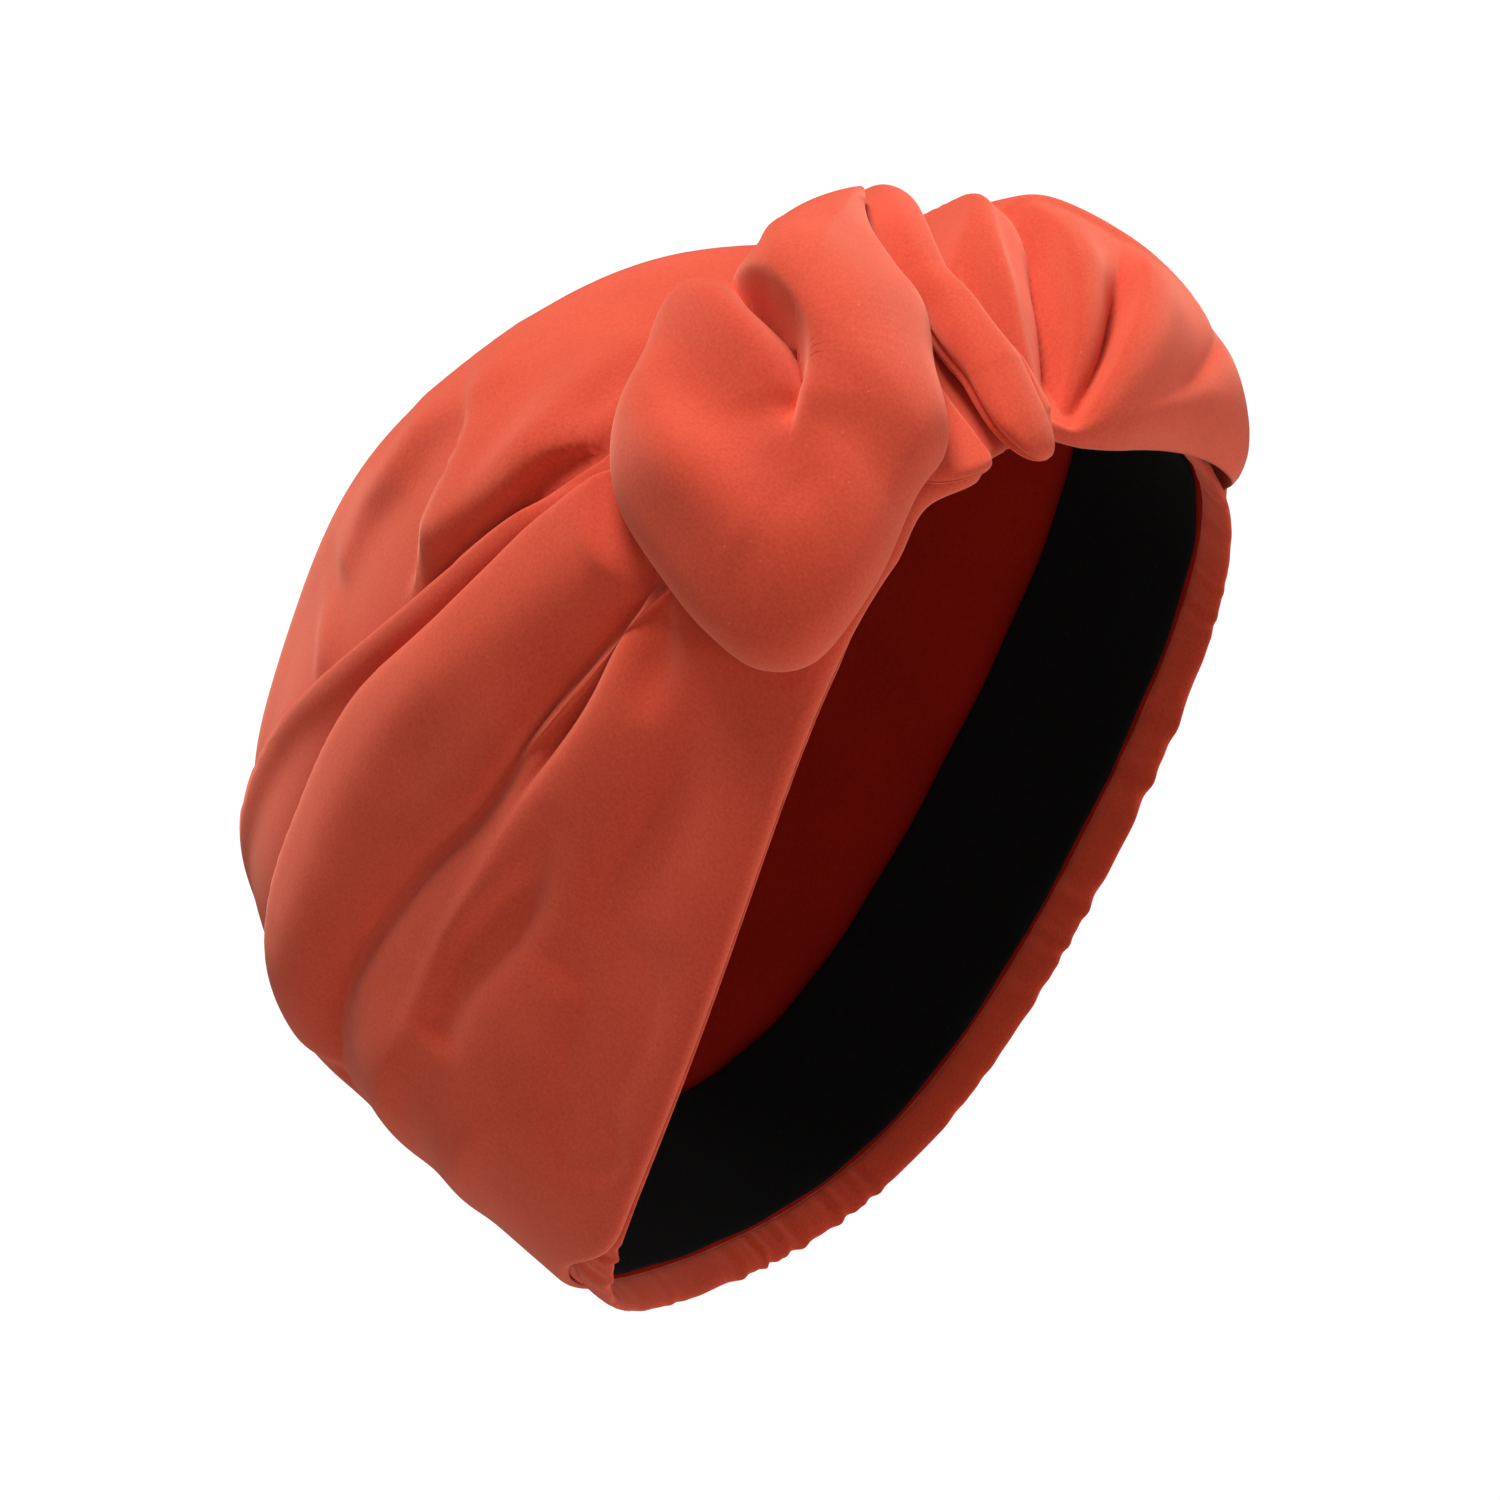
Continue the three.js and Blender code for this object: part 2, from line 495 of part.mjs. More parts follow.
// A cloth sheet between an outer and an inner surface, closed along its four edges
function sheet(columns, rows, outer, inner) {
  const positions = [];
  const triangles = [];
  const corner = (column, row, side) => (row * (columns + 1) + column) * 2 + side;
  const quad = (a, b, c, d) => triangles.push([a, b, c], [a, c, d]);
  for (let row = 0; row <= rows; row += 1) {
    for (let column = 0; column <= columns; column += 1) {
      positions.push(outer(column / columns, row / rows), inner(column / columns, row / rows));
    }
  }
  for (let row = 0; row < rows; row += 1) {
    for (let column = 0; column < columns; column += 1) {
      const [near, far, up, upFar] = [[0, 0], [1, 0], [0, 1], [1, 1]].map(([x, y]) => [column + x, row + y]);
      quad(corner(...near, 0), corner(...far, 0), corner(...upFar, 0), corner(...up, 0));
      quad(corner(...near, 1), corner(...up, 1), corner(...upFar, 1), corner(...far, 1));
    }
  }
  for (let column = 0; column < columns; column += 1) {
    quad(corner(column, 0, 1), corner(column + 1, 0, 1), corner(column + 1, 0, 0), corner(column, 0, 0));
    quad(corner(column, rows, 0), corner(column + 1, rows, 0), corner(column + 1, rows, 1), corner(column, rows, 1));
  }
  for (let row = 0; row < rows; row += 1) {
    quad(corner(0, row, 0), corner(0, row + 1, 0), corner(0, row + 1, 1), corner(0, row, 1));
    quad(corner(columns, row, 1), corner(columns, row + 1, 1), corner(columns, row + 1, 0), corner(columns, row, 0));
  }
  return closedGeometry(positions, triangles);
}

// Rings of corners joined in order, each ring closed. The ends are closed by a middle point,
// or the last ring joins the first.
function rings(list, ends) {
  const count = list[0].length;
  const positions = list.flat();
  const triangles = [];
  const join = (one, other) => {
    for (let index = 0; index < count; index += 1) {
      const next = (index + 1) % count;
      triangles.push([one + index, one + next, other + next], [one + index, other + next, other + index]);
    }
  };
  for (let ring = 0; ring + 1 < list.length; ring += 1) join(ring * count, (ring + 1) * count);
  if (!ends) {
    join((list.length - 1) * count, 0);
    return closedGeometry(positions, triangles);
  }
  const first = positions.push(ends[0]) - 1;
  const last = positions.push(ends[1]) - 1;
  const start = (list.length - 1) * count;
  for (let index = 0; index < count; index += 1) {
    const next = (index + 1) % count;
    triangles.push([first, next, index], [last, start + index, start + next]);
  }
  return closedGeometry(positions, triangles);
}

const aroundForm = (count, place) => Array.from({ length: count }, (_, index) => place((360 * index) / count - 180));

// The casing is drawn up a little behind the knot
const rimLift = (turn) => (hemTuckUp / crownDepth) * (1 - smooth(22, 50, Math.abs(turn + 8)));
const hemFoot = (turn) => rimLift(turn) - hemDrop / crownDepth;
const hemTop = (turn) => hemFoot(turn) + hemWidth / crownDepth;
const crownFoot = (turn) => hemTop(turn) + clearance / crownDepth;
const bandTop = (turn) => crownFoot(turn) + bandWidth / crownDepth;
const ringColumns = 60;

function crown() {
  const rows = 16;
  const top = formPoint(0, 1);
  const level = (turn, row) => {
    const share = Math.sin((Math.PI / 2) * (row / rows)) ** (2 / riseRound);
    return crownFoot(turn) + (1 - crownFoot(turn)) * share;
  };
  const outside = [];
  const inside = [];
  for (let row = 0; row < rows; row += 1) {
    const ring = (liftAt) =>
      aroundForm(ringColumns, (turn) => clothPoint(turn, level(turn, row), liftAt(crownLift(turn, level(turn, row)))));
    outside.push(ring((lift) => lift));
    inside.unshift(ring((lift) => 0.8 * lift - clothWall));
  }
  const poles = [new THREE.Vector3(top.x, top.y, top.z), new THREE.Vector3(top.x, top.y, top.z - clothWall)];
  const list = [...outside.reverse(), ...inside.reverse()];
  return rings(list, poles);
}

const rollTurnAt = rollPath.map(({ turn, rise }) => [rise, turn]);

function wrap(end, lowerEdge, upperEdge, liftAt, wallAt) {
  const columns = 38;
  const rows = 13;
  const parting = Math.sign(end) * partingGap;
  const riseAt = (turn, share) => trace(lowerEdge, turn) + share * (trace(upperEdge, turn) - trace(lowerEdge, turn));
  const startAt = (share) => {
    let start = rollPath[0].turn;
    for (let round = 0; round < 8; round += 1) start = trace(rollTurnAt, riseAt(start, share)) + parting;
    return start;
  };
  const at = (along, across) => {
    const share = evenAcross * across + (1 - evenAcross) * across ** 1.2;
    const start = startAt(share);
    const turn = start + (end - start) * (evenAlong * along + (1 - evenAlong) * along ** 2);
    return [turn, riseAt(turn, share)];
  };
  const outer = (along, across) => {
    const [turn, rise] = at(along, across);
    return clothPoint(turn, rise, liftAt(turn, rise));
  };
  const inner = (along, across) => {
    const [turn, rise] = at(along, across);
    const floor = overCrown(turn, rise);
    return clothPoint(turn, rise, Math.max(floor, liftAt(turn, rise) - wallAt(turn)));
  };
  return sheet(columns, rows, outer, inner);
}

const wrapRight = () => wrap(-backSeamTurn, wrapLowerEdge, wrapUpperEdge, wrapLift, () => 1.3 * clothWall);
const wrapLeft = () =>
  wrap(backSeamTurn, gatherLowerEdge, gatherUpperEdge, gatherLift, (turn) =>
    1.3 * clothWall + (gatheredWall - 1.3 * clothWall) * (1 - smooth(25, 50, turn)));

// A rounded step up from an edge, as high as its own width
const roundedStep = (distance, radius) => radius * Math.sqrt(1 - (1 - clamp(distance / radius, 0, 1)) ** 2);

// A pad of cloth over the form, inside an outline, with a round edge
function pad(plan, sides, topShares, underShares, topAt, underAt, middle) {
  const ring = (share, liftAt) =>
    Array.from({ length: sides }, (_, index) => {
      const angle = (2 * Math.PI * index) / sides - Math.PI;
      const [turn, rise] = plan.place(angle, share);
      return clothPoint(turn, rise, liftAt(turn, rise, share, (1 - share) * plan.radiusAt(angle)));
    });
  const list = [
    ...topShares.map((share) => ring(share, topAt)),
    ...underShares.map((share) => ring(share, underAt)),
  ];
  const [turn, rise] = middle;
  const depth = plan.radiusAt(0);
  return rings(list, [
    clothPoint(turn, rise, topAt(turn, rise, 0, depth)),
    clothPoint(turn, rise, underAt(turn, rise, 0, depth)),
  ]);
}

function knotLoop() {
  const dome = loopHeight - loopEdge - loopUnderside;
  const top = (turn, rise, share, inward) =>
    loopSeatOver(turn) + loopUnderside + roundedStep(inward, loopEdge) + dome * (1 - share ** 2.6) +
    foldLift(loopSet, turn, rise) * (1 - share ** 4);
  const under = (turn, rise, share, inward) =>
    loopSeatOver(turn) + loopUnderside - roundedStep(inward, loopUnderside);
  const topShares = [0.16, 0.32, 0.48, 0.62, 0.75, 0.86, 0.94, 0.985, 1];
  return pad(loopPlan, 40, topShares, [0.94, 0.7, 0.35], top, under, loopMiddle);
}

function knotTuck() {
  const half = tuckThickness / 2;
  const top = (turn, rise, share, inward) => tuckSeat + half + roundedStep(inward, half);
  const under = (turn, rise, share, inward) => tuckSeat + half - roundedStep(inward, half);
  return pad(tuckPlan, 22, [0.4, 0.75, 0.93, 1], [0.9, 0.5], top, under, tuckMiddle);
}

// The roll is a twisted band of cloth: a round section carried along its path, with grooves
// that turn slowly about it
function knotRoll() {
  const steps = 20;
  const sides = 16;
  const path = new THREE.CatmullRomCurve3(rollPath.map(({ turn, rise }) => new THREE.Vector3(turn, rise * 100, 0)));
  const middle = (share) => {
    const spot = path.getPoint(share);
    return clothPoint(spot.x, spot.y / 100, rollSeat * rollValue('lift', share));
  };
  const reachAt = (angle, share) =>
    rollGrooves.reduce((reach, { top, foot, depth, width }) => {
      const line = radians(top + (foot - top) * smooth(0, 0.8, share));
      const away = Math.abs(Math.atan2(Math.sin(angle - line), Math.cos(angle - line)));
      return reach - depth * Math.exp(-away / radians(width));
    }, 1);
  const section = (share) => {
    const spot = path.getPoint(share);
    const forward = middle(Math.min(share + 0.01, 1)).sub(middle(Math.max(share - 0.01, 0))).normalize();
    const sideways = forward.clone().cross(formNormal(spot.x, spot.y / 100)).normalize();
    const outward = sideways.clone().cross(forward);
    const endRound = Math.sqrt(1 - Math.abs(2 * share - 1) ** 8);
    const halfWidth = rollHalfWidth * rollValue('width', share) * endRound;
    const halfHeight = (rollHeight / 2) * rollValue('height', share) * endRound;
    return Array.from({ length: sides }, (_, index) => {
      const angle = (2 * Math.PI * index) / sides;
      const reach = reachAt(angle, share);
      return middle(share)
        .addScaledVector(sideways, halfWidth * reach * Math.cos(angle))
        .addScaledVector(outward, halfHeight * reach * Math.sin(angle));
    });
  };
  const shares = Array.from({ length: steps + 1 }, (_, step) => 0.5 - 0.496 * Math.cos((Math.PI * step) / steps));
  return rings(shares.map(section), [middle(0), middle(1)]);
}

// A closed band round the opening, from a section of rise and lift at each turn
function ringOfCloth(section) {
  return rings(aroundForm(ringColumns, (turn) => section(turn).map(([rise, lift]) => clothPoint(turn, rise, lift))), null);
}

function sweatband() {
  const outer = -clothWall - 2 * clearance;
  const inner = outer - bandWall;
  return ringOfCloth((turn) => {
    const levels = [0, 0.33, 0.67, 1].map((share) => crownFoot(turn) + share * (bandTop(turn) - crownFoot(turn)));
    return [...levels.map((rise) => [rise, outer]), ...levels.reverse().map((rise) => [rise, inner])];
  });
}

function hem() {
  const bevel = hemBevel / crownDepth;
  return ringOfCloth((turn) => {
    const foot = hemFoot(turn);
    const top = hemTop(turn);
    const middle = (foot + top) / 2;
    return [
      [top, -0.5], [top, 0.5 - hemThickness], [middle, -hemThickness], [foot + bevel, 0.4 - hemThickness],
      [foot, -hemThickness / 2], [foot + bevel, -0.4], [middle, 0],
    ];
  });
}

const cloth = (color, roughness) => new THREE.MeshStandardMaterial({ color, roughness, metalness: 0 });

function piece(name, geometry, material) {
  const mesh = new THREE.Mesh(geometry, material);
  mesh.name = name;
  return mesh;
}

const turban = new THREE.Group();
turban.rotation.x = radians(-wornPitch);
turban.add(
  piece('crown', crown(), cloth(coral, 0.62)),
  piece('wrap_right', wrapRight(), cloth(coral, 0.62)),
  piece('wrap_left', wrapLeft(), cloth(coral, 0.62)),
  piece('knot_loop', knotLoop(), cloth(coral, 0.62)),
  piece('knot_tuck', knotTuck(), cloth(coral, 0.62)),
  piece('knot_roll', knotRoll(), cloth(coral, 0.62)),
  piece('sweatband', sweatband(), cloth(black, 0.85)),
  piece('hem', hem(), cloth(coralDeep, 0.66)),
);

export default turban;
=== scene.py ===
# %% [markdown]
# # A soft turban with a knot at the front
# The real cap is sewn from one brushed stretch cloth. Two pleated wraps start at a knot over
# the brow and run round to the back, over a soft crown, and an elastic casing edges the
# opening. Cloth like this could be simulated, but its folds are sewn in place, so here every
# layer is laid over one head form and its folds are drawn as ridges and valleys.

# %% Tools and frame
import math

import bpy
import numpy as np
from mathutils import Matrix, Vector


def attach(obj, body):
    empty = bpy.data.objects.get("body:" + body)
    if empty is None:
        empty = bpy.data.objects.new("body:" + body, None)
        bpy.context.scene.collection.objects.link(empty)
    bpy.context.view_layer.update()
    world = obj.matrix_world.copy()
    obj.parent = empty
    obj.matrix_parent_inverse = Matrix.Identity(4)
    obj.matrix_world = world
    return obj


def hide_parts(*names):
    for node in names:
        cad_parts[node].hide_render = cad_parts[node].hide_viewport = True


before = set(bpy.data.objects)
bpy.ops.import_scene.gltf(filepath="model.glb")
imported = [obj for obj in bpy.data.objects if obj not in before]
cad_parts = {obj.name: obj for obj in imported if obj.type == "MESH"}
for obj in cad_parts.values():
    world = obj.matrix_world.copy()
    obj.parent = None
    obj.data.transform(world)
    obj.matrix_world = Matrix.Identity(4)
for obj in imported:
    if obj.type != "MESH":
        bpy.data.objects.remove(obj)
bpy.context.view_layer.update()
print("nodes to dress:", ", ".join(sorted(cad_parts)))

# %% [markdown]
# ## Sizes
# A cap is made to a head, so the head opening comes first. All lengths are real millimetres
# and only the finished meshes are turned to metres.

# %% Sizes of the cap
opening_half_width = 73.0
opening_half_length = 100.0
crown_depth = 138.0
rim_wave = 4.9
rim_wave_back = 1.3
crown_lean = 11.7
worn_pitch = 35.0

cloth_wall = 1.6
wrap_wall = 1.3 * cloth_wall
least_wall = 0.8 * cloth_wall  # what a wrap keeps over the crown's folds
edge_radius = 2.2  # of a turned-in edge
clearance = 0.42

loop_seat = 4.1
loop_height = 19.5
loop_edge = 5.5
loop_underside = 2.5
tuck_thickness = 3.6
roll_nest = 0.25
roll_seat = 11.0
roll_height = 12.0
roll_half_width = 6.4

band_width = 35.0
band_wall = 1.6
hem_width = 8.6
hem_thickness = 3.2
hem_drop = 1.7
hem_tuck_up = 5.0

# Shares and powers that round the opening and the crown
rim_egg = 0.09
rim_square = 0.08
rim_point = 0.031
rise_round = 2.4
plan_round = 2.5
side_bulge = 0.11
back_draw = 0.2
lean_round = 1.5
almost_top = 0.9999  # the form shrinks to a point at 1, where it has no direction

print("opening:", 2 * opening_half_width, "x", 2 * opening_half_length, "mm over the cloth")

# %% [markdown]
# ## The head form
# A milliner works over a wooden block. This one is a formula: turn is the angle round the
# head in degrees, 0 at the brow and positive to the wearer's left, and rise is the share of
# the way from the rim, 0, to the top, 1. A formula can be asked anywhere, as finely as needed.


# %% Head form
def smooth(low, high, value):
    """A share that eases from 0 at low to 1 at high."""
    share = np.clip((value - low) / (high - low), 0.0, 1.0)
    return share * share * (3.0 - 2.0 * share)


def rounded(share):
    """A quarter circle: steep at 0 and level at 1."""
    return np.sqrt(1 - (1 - np.clip(share, 0, 1)) ** 2)


def form_point(turn, rise):
    angle = np.radians(turn)
    height = np.clip(rise, 0.0, almost_top)
    plan = (1.0 - height**rise_round) ** (1.0 / plan_round)
    swell = np.where(rise > 0.0, np.sin(np.pi * height), np.pi * rise)
    across = np.sin(angle) + rim_egg * np.sin(2 * angle) + rim_square * np.sin(3 * angle)
    along = np.cos(angle) - rim_point * np.cos(3 * angle)
    wave = rim_wave * np.cos(2 * angle) - rim_wave_back * np.cos(3 * angle)
    side = 1.0 + side_bulge * swell
    back = side - back_draw * swell * np.maximum(0.0, -np.cos(angle))
    return np.stack(
        [
            opening_half_width * across / (1.0 - rim_square) * plan * side,
            -opening_half_length * along / (1.0 - rim_point) * plan * back
            + crown_lean * height**lean_round,
            wave * (1.0 - height) + crown_depth * np.minimum(rise, almost_top),
        ],
        axis=-1,
    )


def unit(vectors):
    return vectors / np.linalg.norm(vectors, axis=-1, keepdims=True)


def form_normal(turn, rise, turn_step=0.05, rise_step=0.001, highest=0.985):
    """The way out of the form, from two short steps over it; it stays steady near the top."""
    level = np.minimum(rise, highest)
    around = form_point(turn + turn_step, level) - form_point(turn - turn_step, level)
    up = form_point(turn, level + rise_step) - form_point(turn, level - rise_step)
    return unit(np.cross(around, up))


def cloth_point(turn, rise, lift, slide=0.0):
    """Where cloth lies: lifted off the form, and slid along it where a fold hangs over."""
    turn, rise, lift = np.broadcast_arrays(
        np.asarray(turn, float), np.asarray(rise, float), np.asarray(lift, float)
    )
    return form_point(turn, rise) + form_normal(turn, rise) * lift[..., None] + slide


brow = form_point(np.array(0.0), np.array(0.0))
print("the form's brow edge, in mm:", np.round(brow, 1))

# %% [markdown]
# ## From millimetres to the worn cap
# The rim is drawn level and then tipped back, as the cap sits on an upright head.


# %% Worn place
def worn(points):
    pitch = math.radians(worn_pitch)
    x, y, z = np.moveaxis(np.asarray(points, float), -1, 0)
    tipped = [
        x,
        y * math.cos(pitch) + z * math.sin(pitch),
        z * math.cos(pitch) - y * math.sin(pitch),
    ]
    return np.stack(tipped, axis=-1) / 1000.0


# %% [markdown]
# ## Folds
# A pleat is a path over the form with a height that changes along it and a width on each
# side. A ridge and a hollow are soft, a crease is a sharp valley, and a lap is a layer that
# ends in a steep edge: its top also slides over the edge, so that the layer casts a shadow
# under itself. Many short formulas like this are easier to steer than a sculpted mesh.


# %% Paths over the form
def smooth_path(rows, steps=5):
    """Catmull-Rom points through (turn, rise) rows."""
    spots = np.array(rows, float)
    spots = np.vstack([2 * spots[0] - spots[1], spots, 2 * spots[-1] - spots[-2]])
    path = []
    for a, b, c, d in zip(spots, spots[1:], spots[2:], spots[3:]):
        for step in range(steps):
            t = step / steps
            path.append(
                0.5 * (2 * b + (c - a) * t + (2 * a - 5 * b + 4 * c - d) * t**2)
                + 0.5 * (3 * b - a - 3 * c + d) * t**3
            )
    path.append(spots[-2])
    return np.array(path)


def measure(turn, rise, rows):
    """Signed distance from a path in mm, left positive, the share along it, the way left, and
    how far past either end of the path a place lies."""
    spots = smooth_path(rows)
    line = form_point(spots[:, 0], spots[:, 1])
    lengths = np.linalg.norm(np.diff(line, axis=0), axis=1)
    reached = np.concatenate([[0.0], np.cumsum(lengths)]) / lengths.sum()
    point = form_point(turn, rise)
    normal = form_normal(turn, rise)
    best = np.full(np.shape(turn), np.inf)
    share = np.zeros_like(best)
    left = np.zeros_like(point)
    side = np.ones_like(best)
    past = np.zeros_like(best)
    for index, length in enumerate(lengths):
        way = (line[index + 1] - line[index]) / length
        offset = point - line[index]
        reach = offset @ way
        along = np.clip(reach, 0.0, length)
        gap = offset - along[..., None] * way
        distance = np.linalg.norm(gap, axis=-1)
        leftward = np.cross(normal, way)
        nearer = distance < best
        best = np.where(nearer, distance, best)
        share = np.where(
            nearer, reached[index] + (reached[index + 1] - reached[index]) * along / length, share
        )
        side = np.where(nearer, np.where((gap * leftward).sum(-1) >= 0, 1.0, -1.0), side)
        left = np.where(nearer[..., None], leftward, left)
        before = np.maximum(0.0, -reach) if index == 0 else 0.0
        after = np.maximum(0.0, reach - length) if index == len(lengths) - 1 else 0.0
        past = np.where(nearer, before + after, past)
    return np.sqrt(np.maximum(best**2 - past**2, 0.0)) * side, share, left, past


def fold_height(heights, share):
    """A height that eases between its values at the start, middle and end of a path."""
    start, middle, end = heights
    first_half = start + (middle - start) * smooth(0.0, 0.5, share)
    return first_half + (end - middle) * smooth(0.5, 1.0, share)


# %% Folds along a path
end_fade = 4.0  # mm past the end of its path over which a fold dies away
lap_spread = 0.35  # share of its width in which a lap's top bends over on its steep side
lap_slide = 0.45  # share of its height by which the top slides over the edge


def lay_folds(folds, turn, rise):
    """The lift that a table of folds gives, and how far it slides the cloth, both in mm."""
    lift = np.zeros(np.shape(turn))
    slide = np.zeros(np.shape(turn) + (3,))
    for _, kind, heights, left, right, rows in folds:
        away, share, leftward, past = measure(turn, rise, rows)
        across = np.abs(away) / np.where(away > 0, left, right)
        height = fold_height(heights, share) * np.exp(-((past / end_fade) ** 2))
        if kind == "crease":
            lift -= height * np.exp(-across)
        elif kind == "hollow":
            lift -= height * np.exp(-(across**2))
        else:
            lift += height * np.exp(-(across**2))
        if kind == "lap":
            towards = 1.0 if left < right else -1.0
            near = np.exp(-((np.abs(away) / (lap_spread * max(left, right))) ** 2))
            push = np.where(away * towards > 0, np.exp(-(across**2)), near)
            slide += leftward * (lap_slide * towards * height * push)[..., None]
    return lift, slide


def mirrored(folds):
    """The same folds on the wearer's other side."""
    return [
        (name, kind, heights, right, left, [(-turn, rise) for turn, rise in rows])
        for name, kind, heights, left, right, rows in folds
    ]


def trace(table, turn):
    """A value read from (turn, value) rows, along a smooth curve between them."""
    rows = sorted(table)
    x = np.array([row[0] for row in rows], float)
    y = np.array([row[1] for row in rows], float)
    slope = np.empty_like(y)
    slope[1:-1] = (y[2:] - y[:-2]) / (x[2:] - x[:-2])
    slope[0] = (y[1] - y[0]) / (x[1] - x[0])
    slope[-1] = (y[-1] - y[-2]) / (x[-1] - x[-2])
    at = np.clip(turn, x[0], x[-1])
    row = np.clip(np.searchsorted(x, at, side="right") - 1, 0, len(x) - 2)
    span = x[row + 1] - x[row]
    t = (at - x[row]) / span
    return (
        y[row] * (2 * t**3 - 3 * t**2 + 1)
        + y[row + 1] * (3 * t**2 - 2 * t**3)
        + slope[row] * span * (t**3 - 2 * t**2 + t)
        + slope[row + 1] * span * (t**3 - t**2)
    )


# %% [markdown]
# ## Edges of the layers
# Each wrap runs from the knot to the middle of the back, between a lower edge at the rim and
# an upper edge on the crown. The tables give the rise of each edge at some turns.

# %% Edges of the wraps
right_upper_edge = [
    (-14, 0.43), (-30, 0.4), (-45, 0.38), (-51, 0.403), (-54.5, 0.43), (-58, 0.458), (-62, 0.495),
    (-65, 0.52), (-70, 0.557), (-75, 0.6), (-80, 0.645), (-86, 0.7), (-93, 0.755), (-101, 0.801),
    (-112, 0.845), (-130, 0.85), (-150, 0.82), (-180, 0.78),
]
right_lower_edge = [
    (-14, 0.014), (-21, 0.012), (-25, -0.004), (-33, 0.01), (-42, -0.01), (-120, -0.012),
    (-130, -0.005), (-142, 0.05), (-180, 0.052),
]
left_upper_edge = [
    (-20, 0.44), (0, 0.5), (12, 0.56), (30, 0.62), (60, 0.69), (90, 0.76), (112, 0.83), (130, 0.85),
    (150, 0.82), (180, 0.78),
]
left_lower_edge = [
    (-20, 0.014), (-12, 0.012), (-7, -0.02), (0, -0.036), (26, -0.034), (33, -0.012), (40, 0.024),
    (90, 0.028), (140, 0.04), (180, 0.052),
]

# %% [markdown]
# ## The pleats
# Each row gives a fold's name and kind, its heights in mm at the start, middle and end of its
# path, its width to the left and to the right of the path in mm, and the path itself as turns
# and rises. The pleats of the right wrap are walked from the knot to the back, so left is
# below them. The gathers are walked down to the knot, so left is the wearer's left. The left
# wrap has the same side pleats in mirror image, without the creases that the knot pulls.

# %% Pleats of the wrap on the wearer's right
right_folds = [
    ("lip of the upper edge", "lap", (2.4, 2.6, 1.6), 4.5, 1.2,
     [(-50, 0.385), (-57, 0.438), (-62, 0.482), (-67, 0.52), (-75, 0.587), (-86, 0.687),
      (-101, 0.79), (-130, 0.835), (-160, 0.79)]),
    ("thin pleat at the knot", "crease", (3.8, 2.8, 0.0), 1.2, 1.2,
     [(-50, 0.38), (-53.5, 0.411), (-55.2, 0.429), (-57.3, 0.447), (-61, 0.475)]),
    ("dip above the broad fold", "crease", (4.6, 4.0, 2.2), 1.0, 6,
     [(-51, 0.368), (-57, 0.405), (-61.3, 0.434), (-66, 0.461), (-75, 0.517), (-86, 0.6),
      (-99, 0.637), (-118, 0.648), (-150, 0.57)]),
    ("broad fold edge", "lap", (2.8, 4.4, 3.4), 12, 1.5,
     [(-52, 0.362), (-57, 0.396), (-61.3, 0.425), (-66, 0.452), (-75, 0.508), (-86, 0.591),
      (-99, 0.628), (-118, 0.64), (-150, 0.56)]),
    ("broad fold swell", "ridge", (2.4, 4.2, 2.6), 9, 9,
     [(-60, 0.33), (-70, 0.4), (-80, 0.47), (-90, 0.52), (-103, 0.56), (-125, 0.57), (-155, 0.5)]),
    ("deep crease at the knot", "crease", (7.5, 5.2, 0.0), 1.4, 4.6,
     [(-57, 0.238), (-60, 0.248), (-65.3, 0.267), (-70.4, 0.293), (-75.3, 0.318), (-82, 0.352)]),
    ("deep crease", "crease", (4.0, 9.0, 5.4), 2.6, 5,
     [(-64, 0.262), (-72, 0.3), (-80, 0.34), (-88, 0.374), (-99, 0.449), (-118, 0.504),
      (-140, 0.49)]),
    ("broad fold's hanging edge", "lap", (2.2, 4.6, 2.8), 2.0, 9,
     [(-62, 0.268), (-70, 0.304), (-79, 0.352), (-88, 0.39), (-99, 0.462), (-116, 0.516),
      (-135, 0.5)]),
    ("lip in the crease", "lap", (3.4, 3.4, 0.0), 1.3, 2.0,
     [(-58.5, 0.23), (-63.8, 0.252), (-67, 0.268), (-72.8, 0.292), (-78, 0.32), (-88, 0.37)]),
    ("crease under the lip", "crease", (0.0, 4.4, 0.4), 1.6, 2.4,
     [(-62, 0.247), (-67.3, 0.259), (-72.5, 0.268), (-78, 0.285), (-88, 0.318)]),
    ("panel edge", "lap", (1.0, 1.1, 0.4), 8, 3.0,
     [(-61, 0.228), (-66, 0.243), (-71.6, 0.248), (-77, 0.262), (-84, 0.292), (-91, 0.312),
      (-105, 0.35), (-130, 0.37)]),
    ("hollow beside the loop", "hollow", (5.0, 3.4, 0.0), 4, 3.5,
     [(-58, 0.225), (-61, 0.225), (-63.4, 0.208), (-67, 0.193), (-73, 0.182)]),
    ("hollow under the panel edge", "hollow", (0.6, 5.0, 2.4), 5, 3.4,
     [(-86, 0.25), (-92, 0.262), (-97, 0.285), (-104, 0.317), (-112, 0.325)]),
    ("long soft hollow", "hollow", (1.2, 3.6, 1.4), 9, 6,
     [(-64, 0.11), (-69, 0.112), (-75, 0.116), (-81, 0.128), (-87, 0.147), (-92, 0.157),
      (-98, 0.175)]),
    ("hooked hollow", "hollow", (0.3, 3.2, 2.6), 7, 7,
     [(-88, 0.075), (-97, 0.09), (-106, 0.1), (-113, 0.09), (-117, 0.062)]),
    ("back fold", "ridge", (0.0, 3.0, 2.0), 5, 8,
     [(-108, 0.36), (-122, 0.39), (-138, 0.37), (-160, 0.33)]),
    ("low back fold", "ridge", (0.0, 2.6, 2.0), 4, 7,
     [(-114, 0.2), (-128, 0.24), (-144, 0.24), (-165, 0.22)]),
]

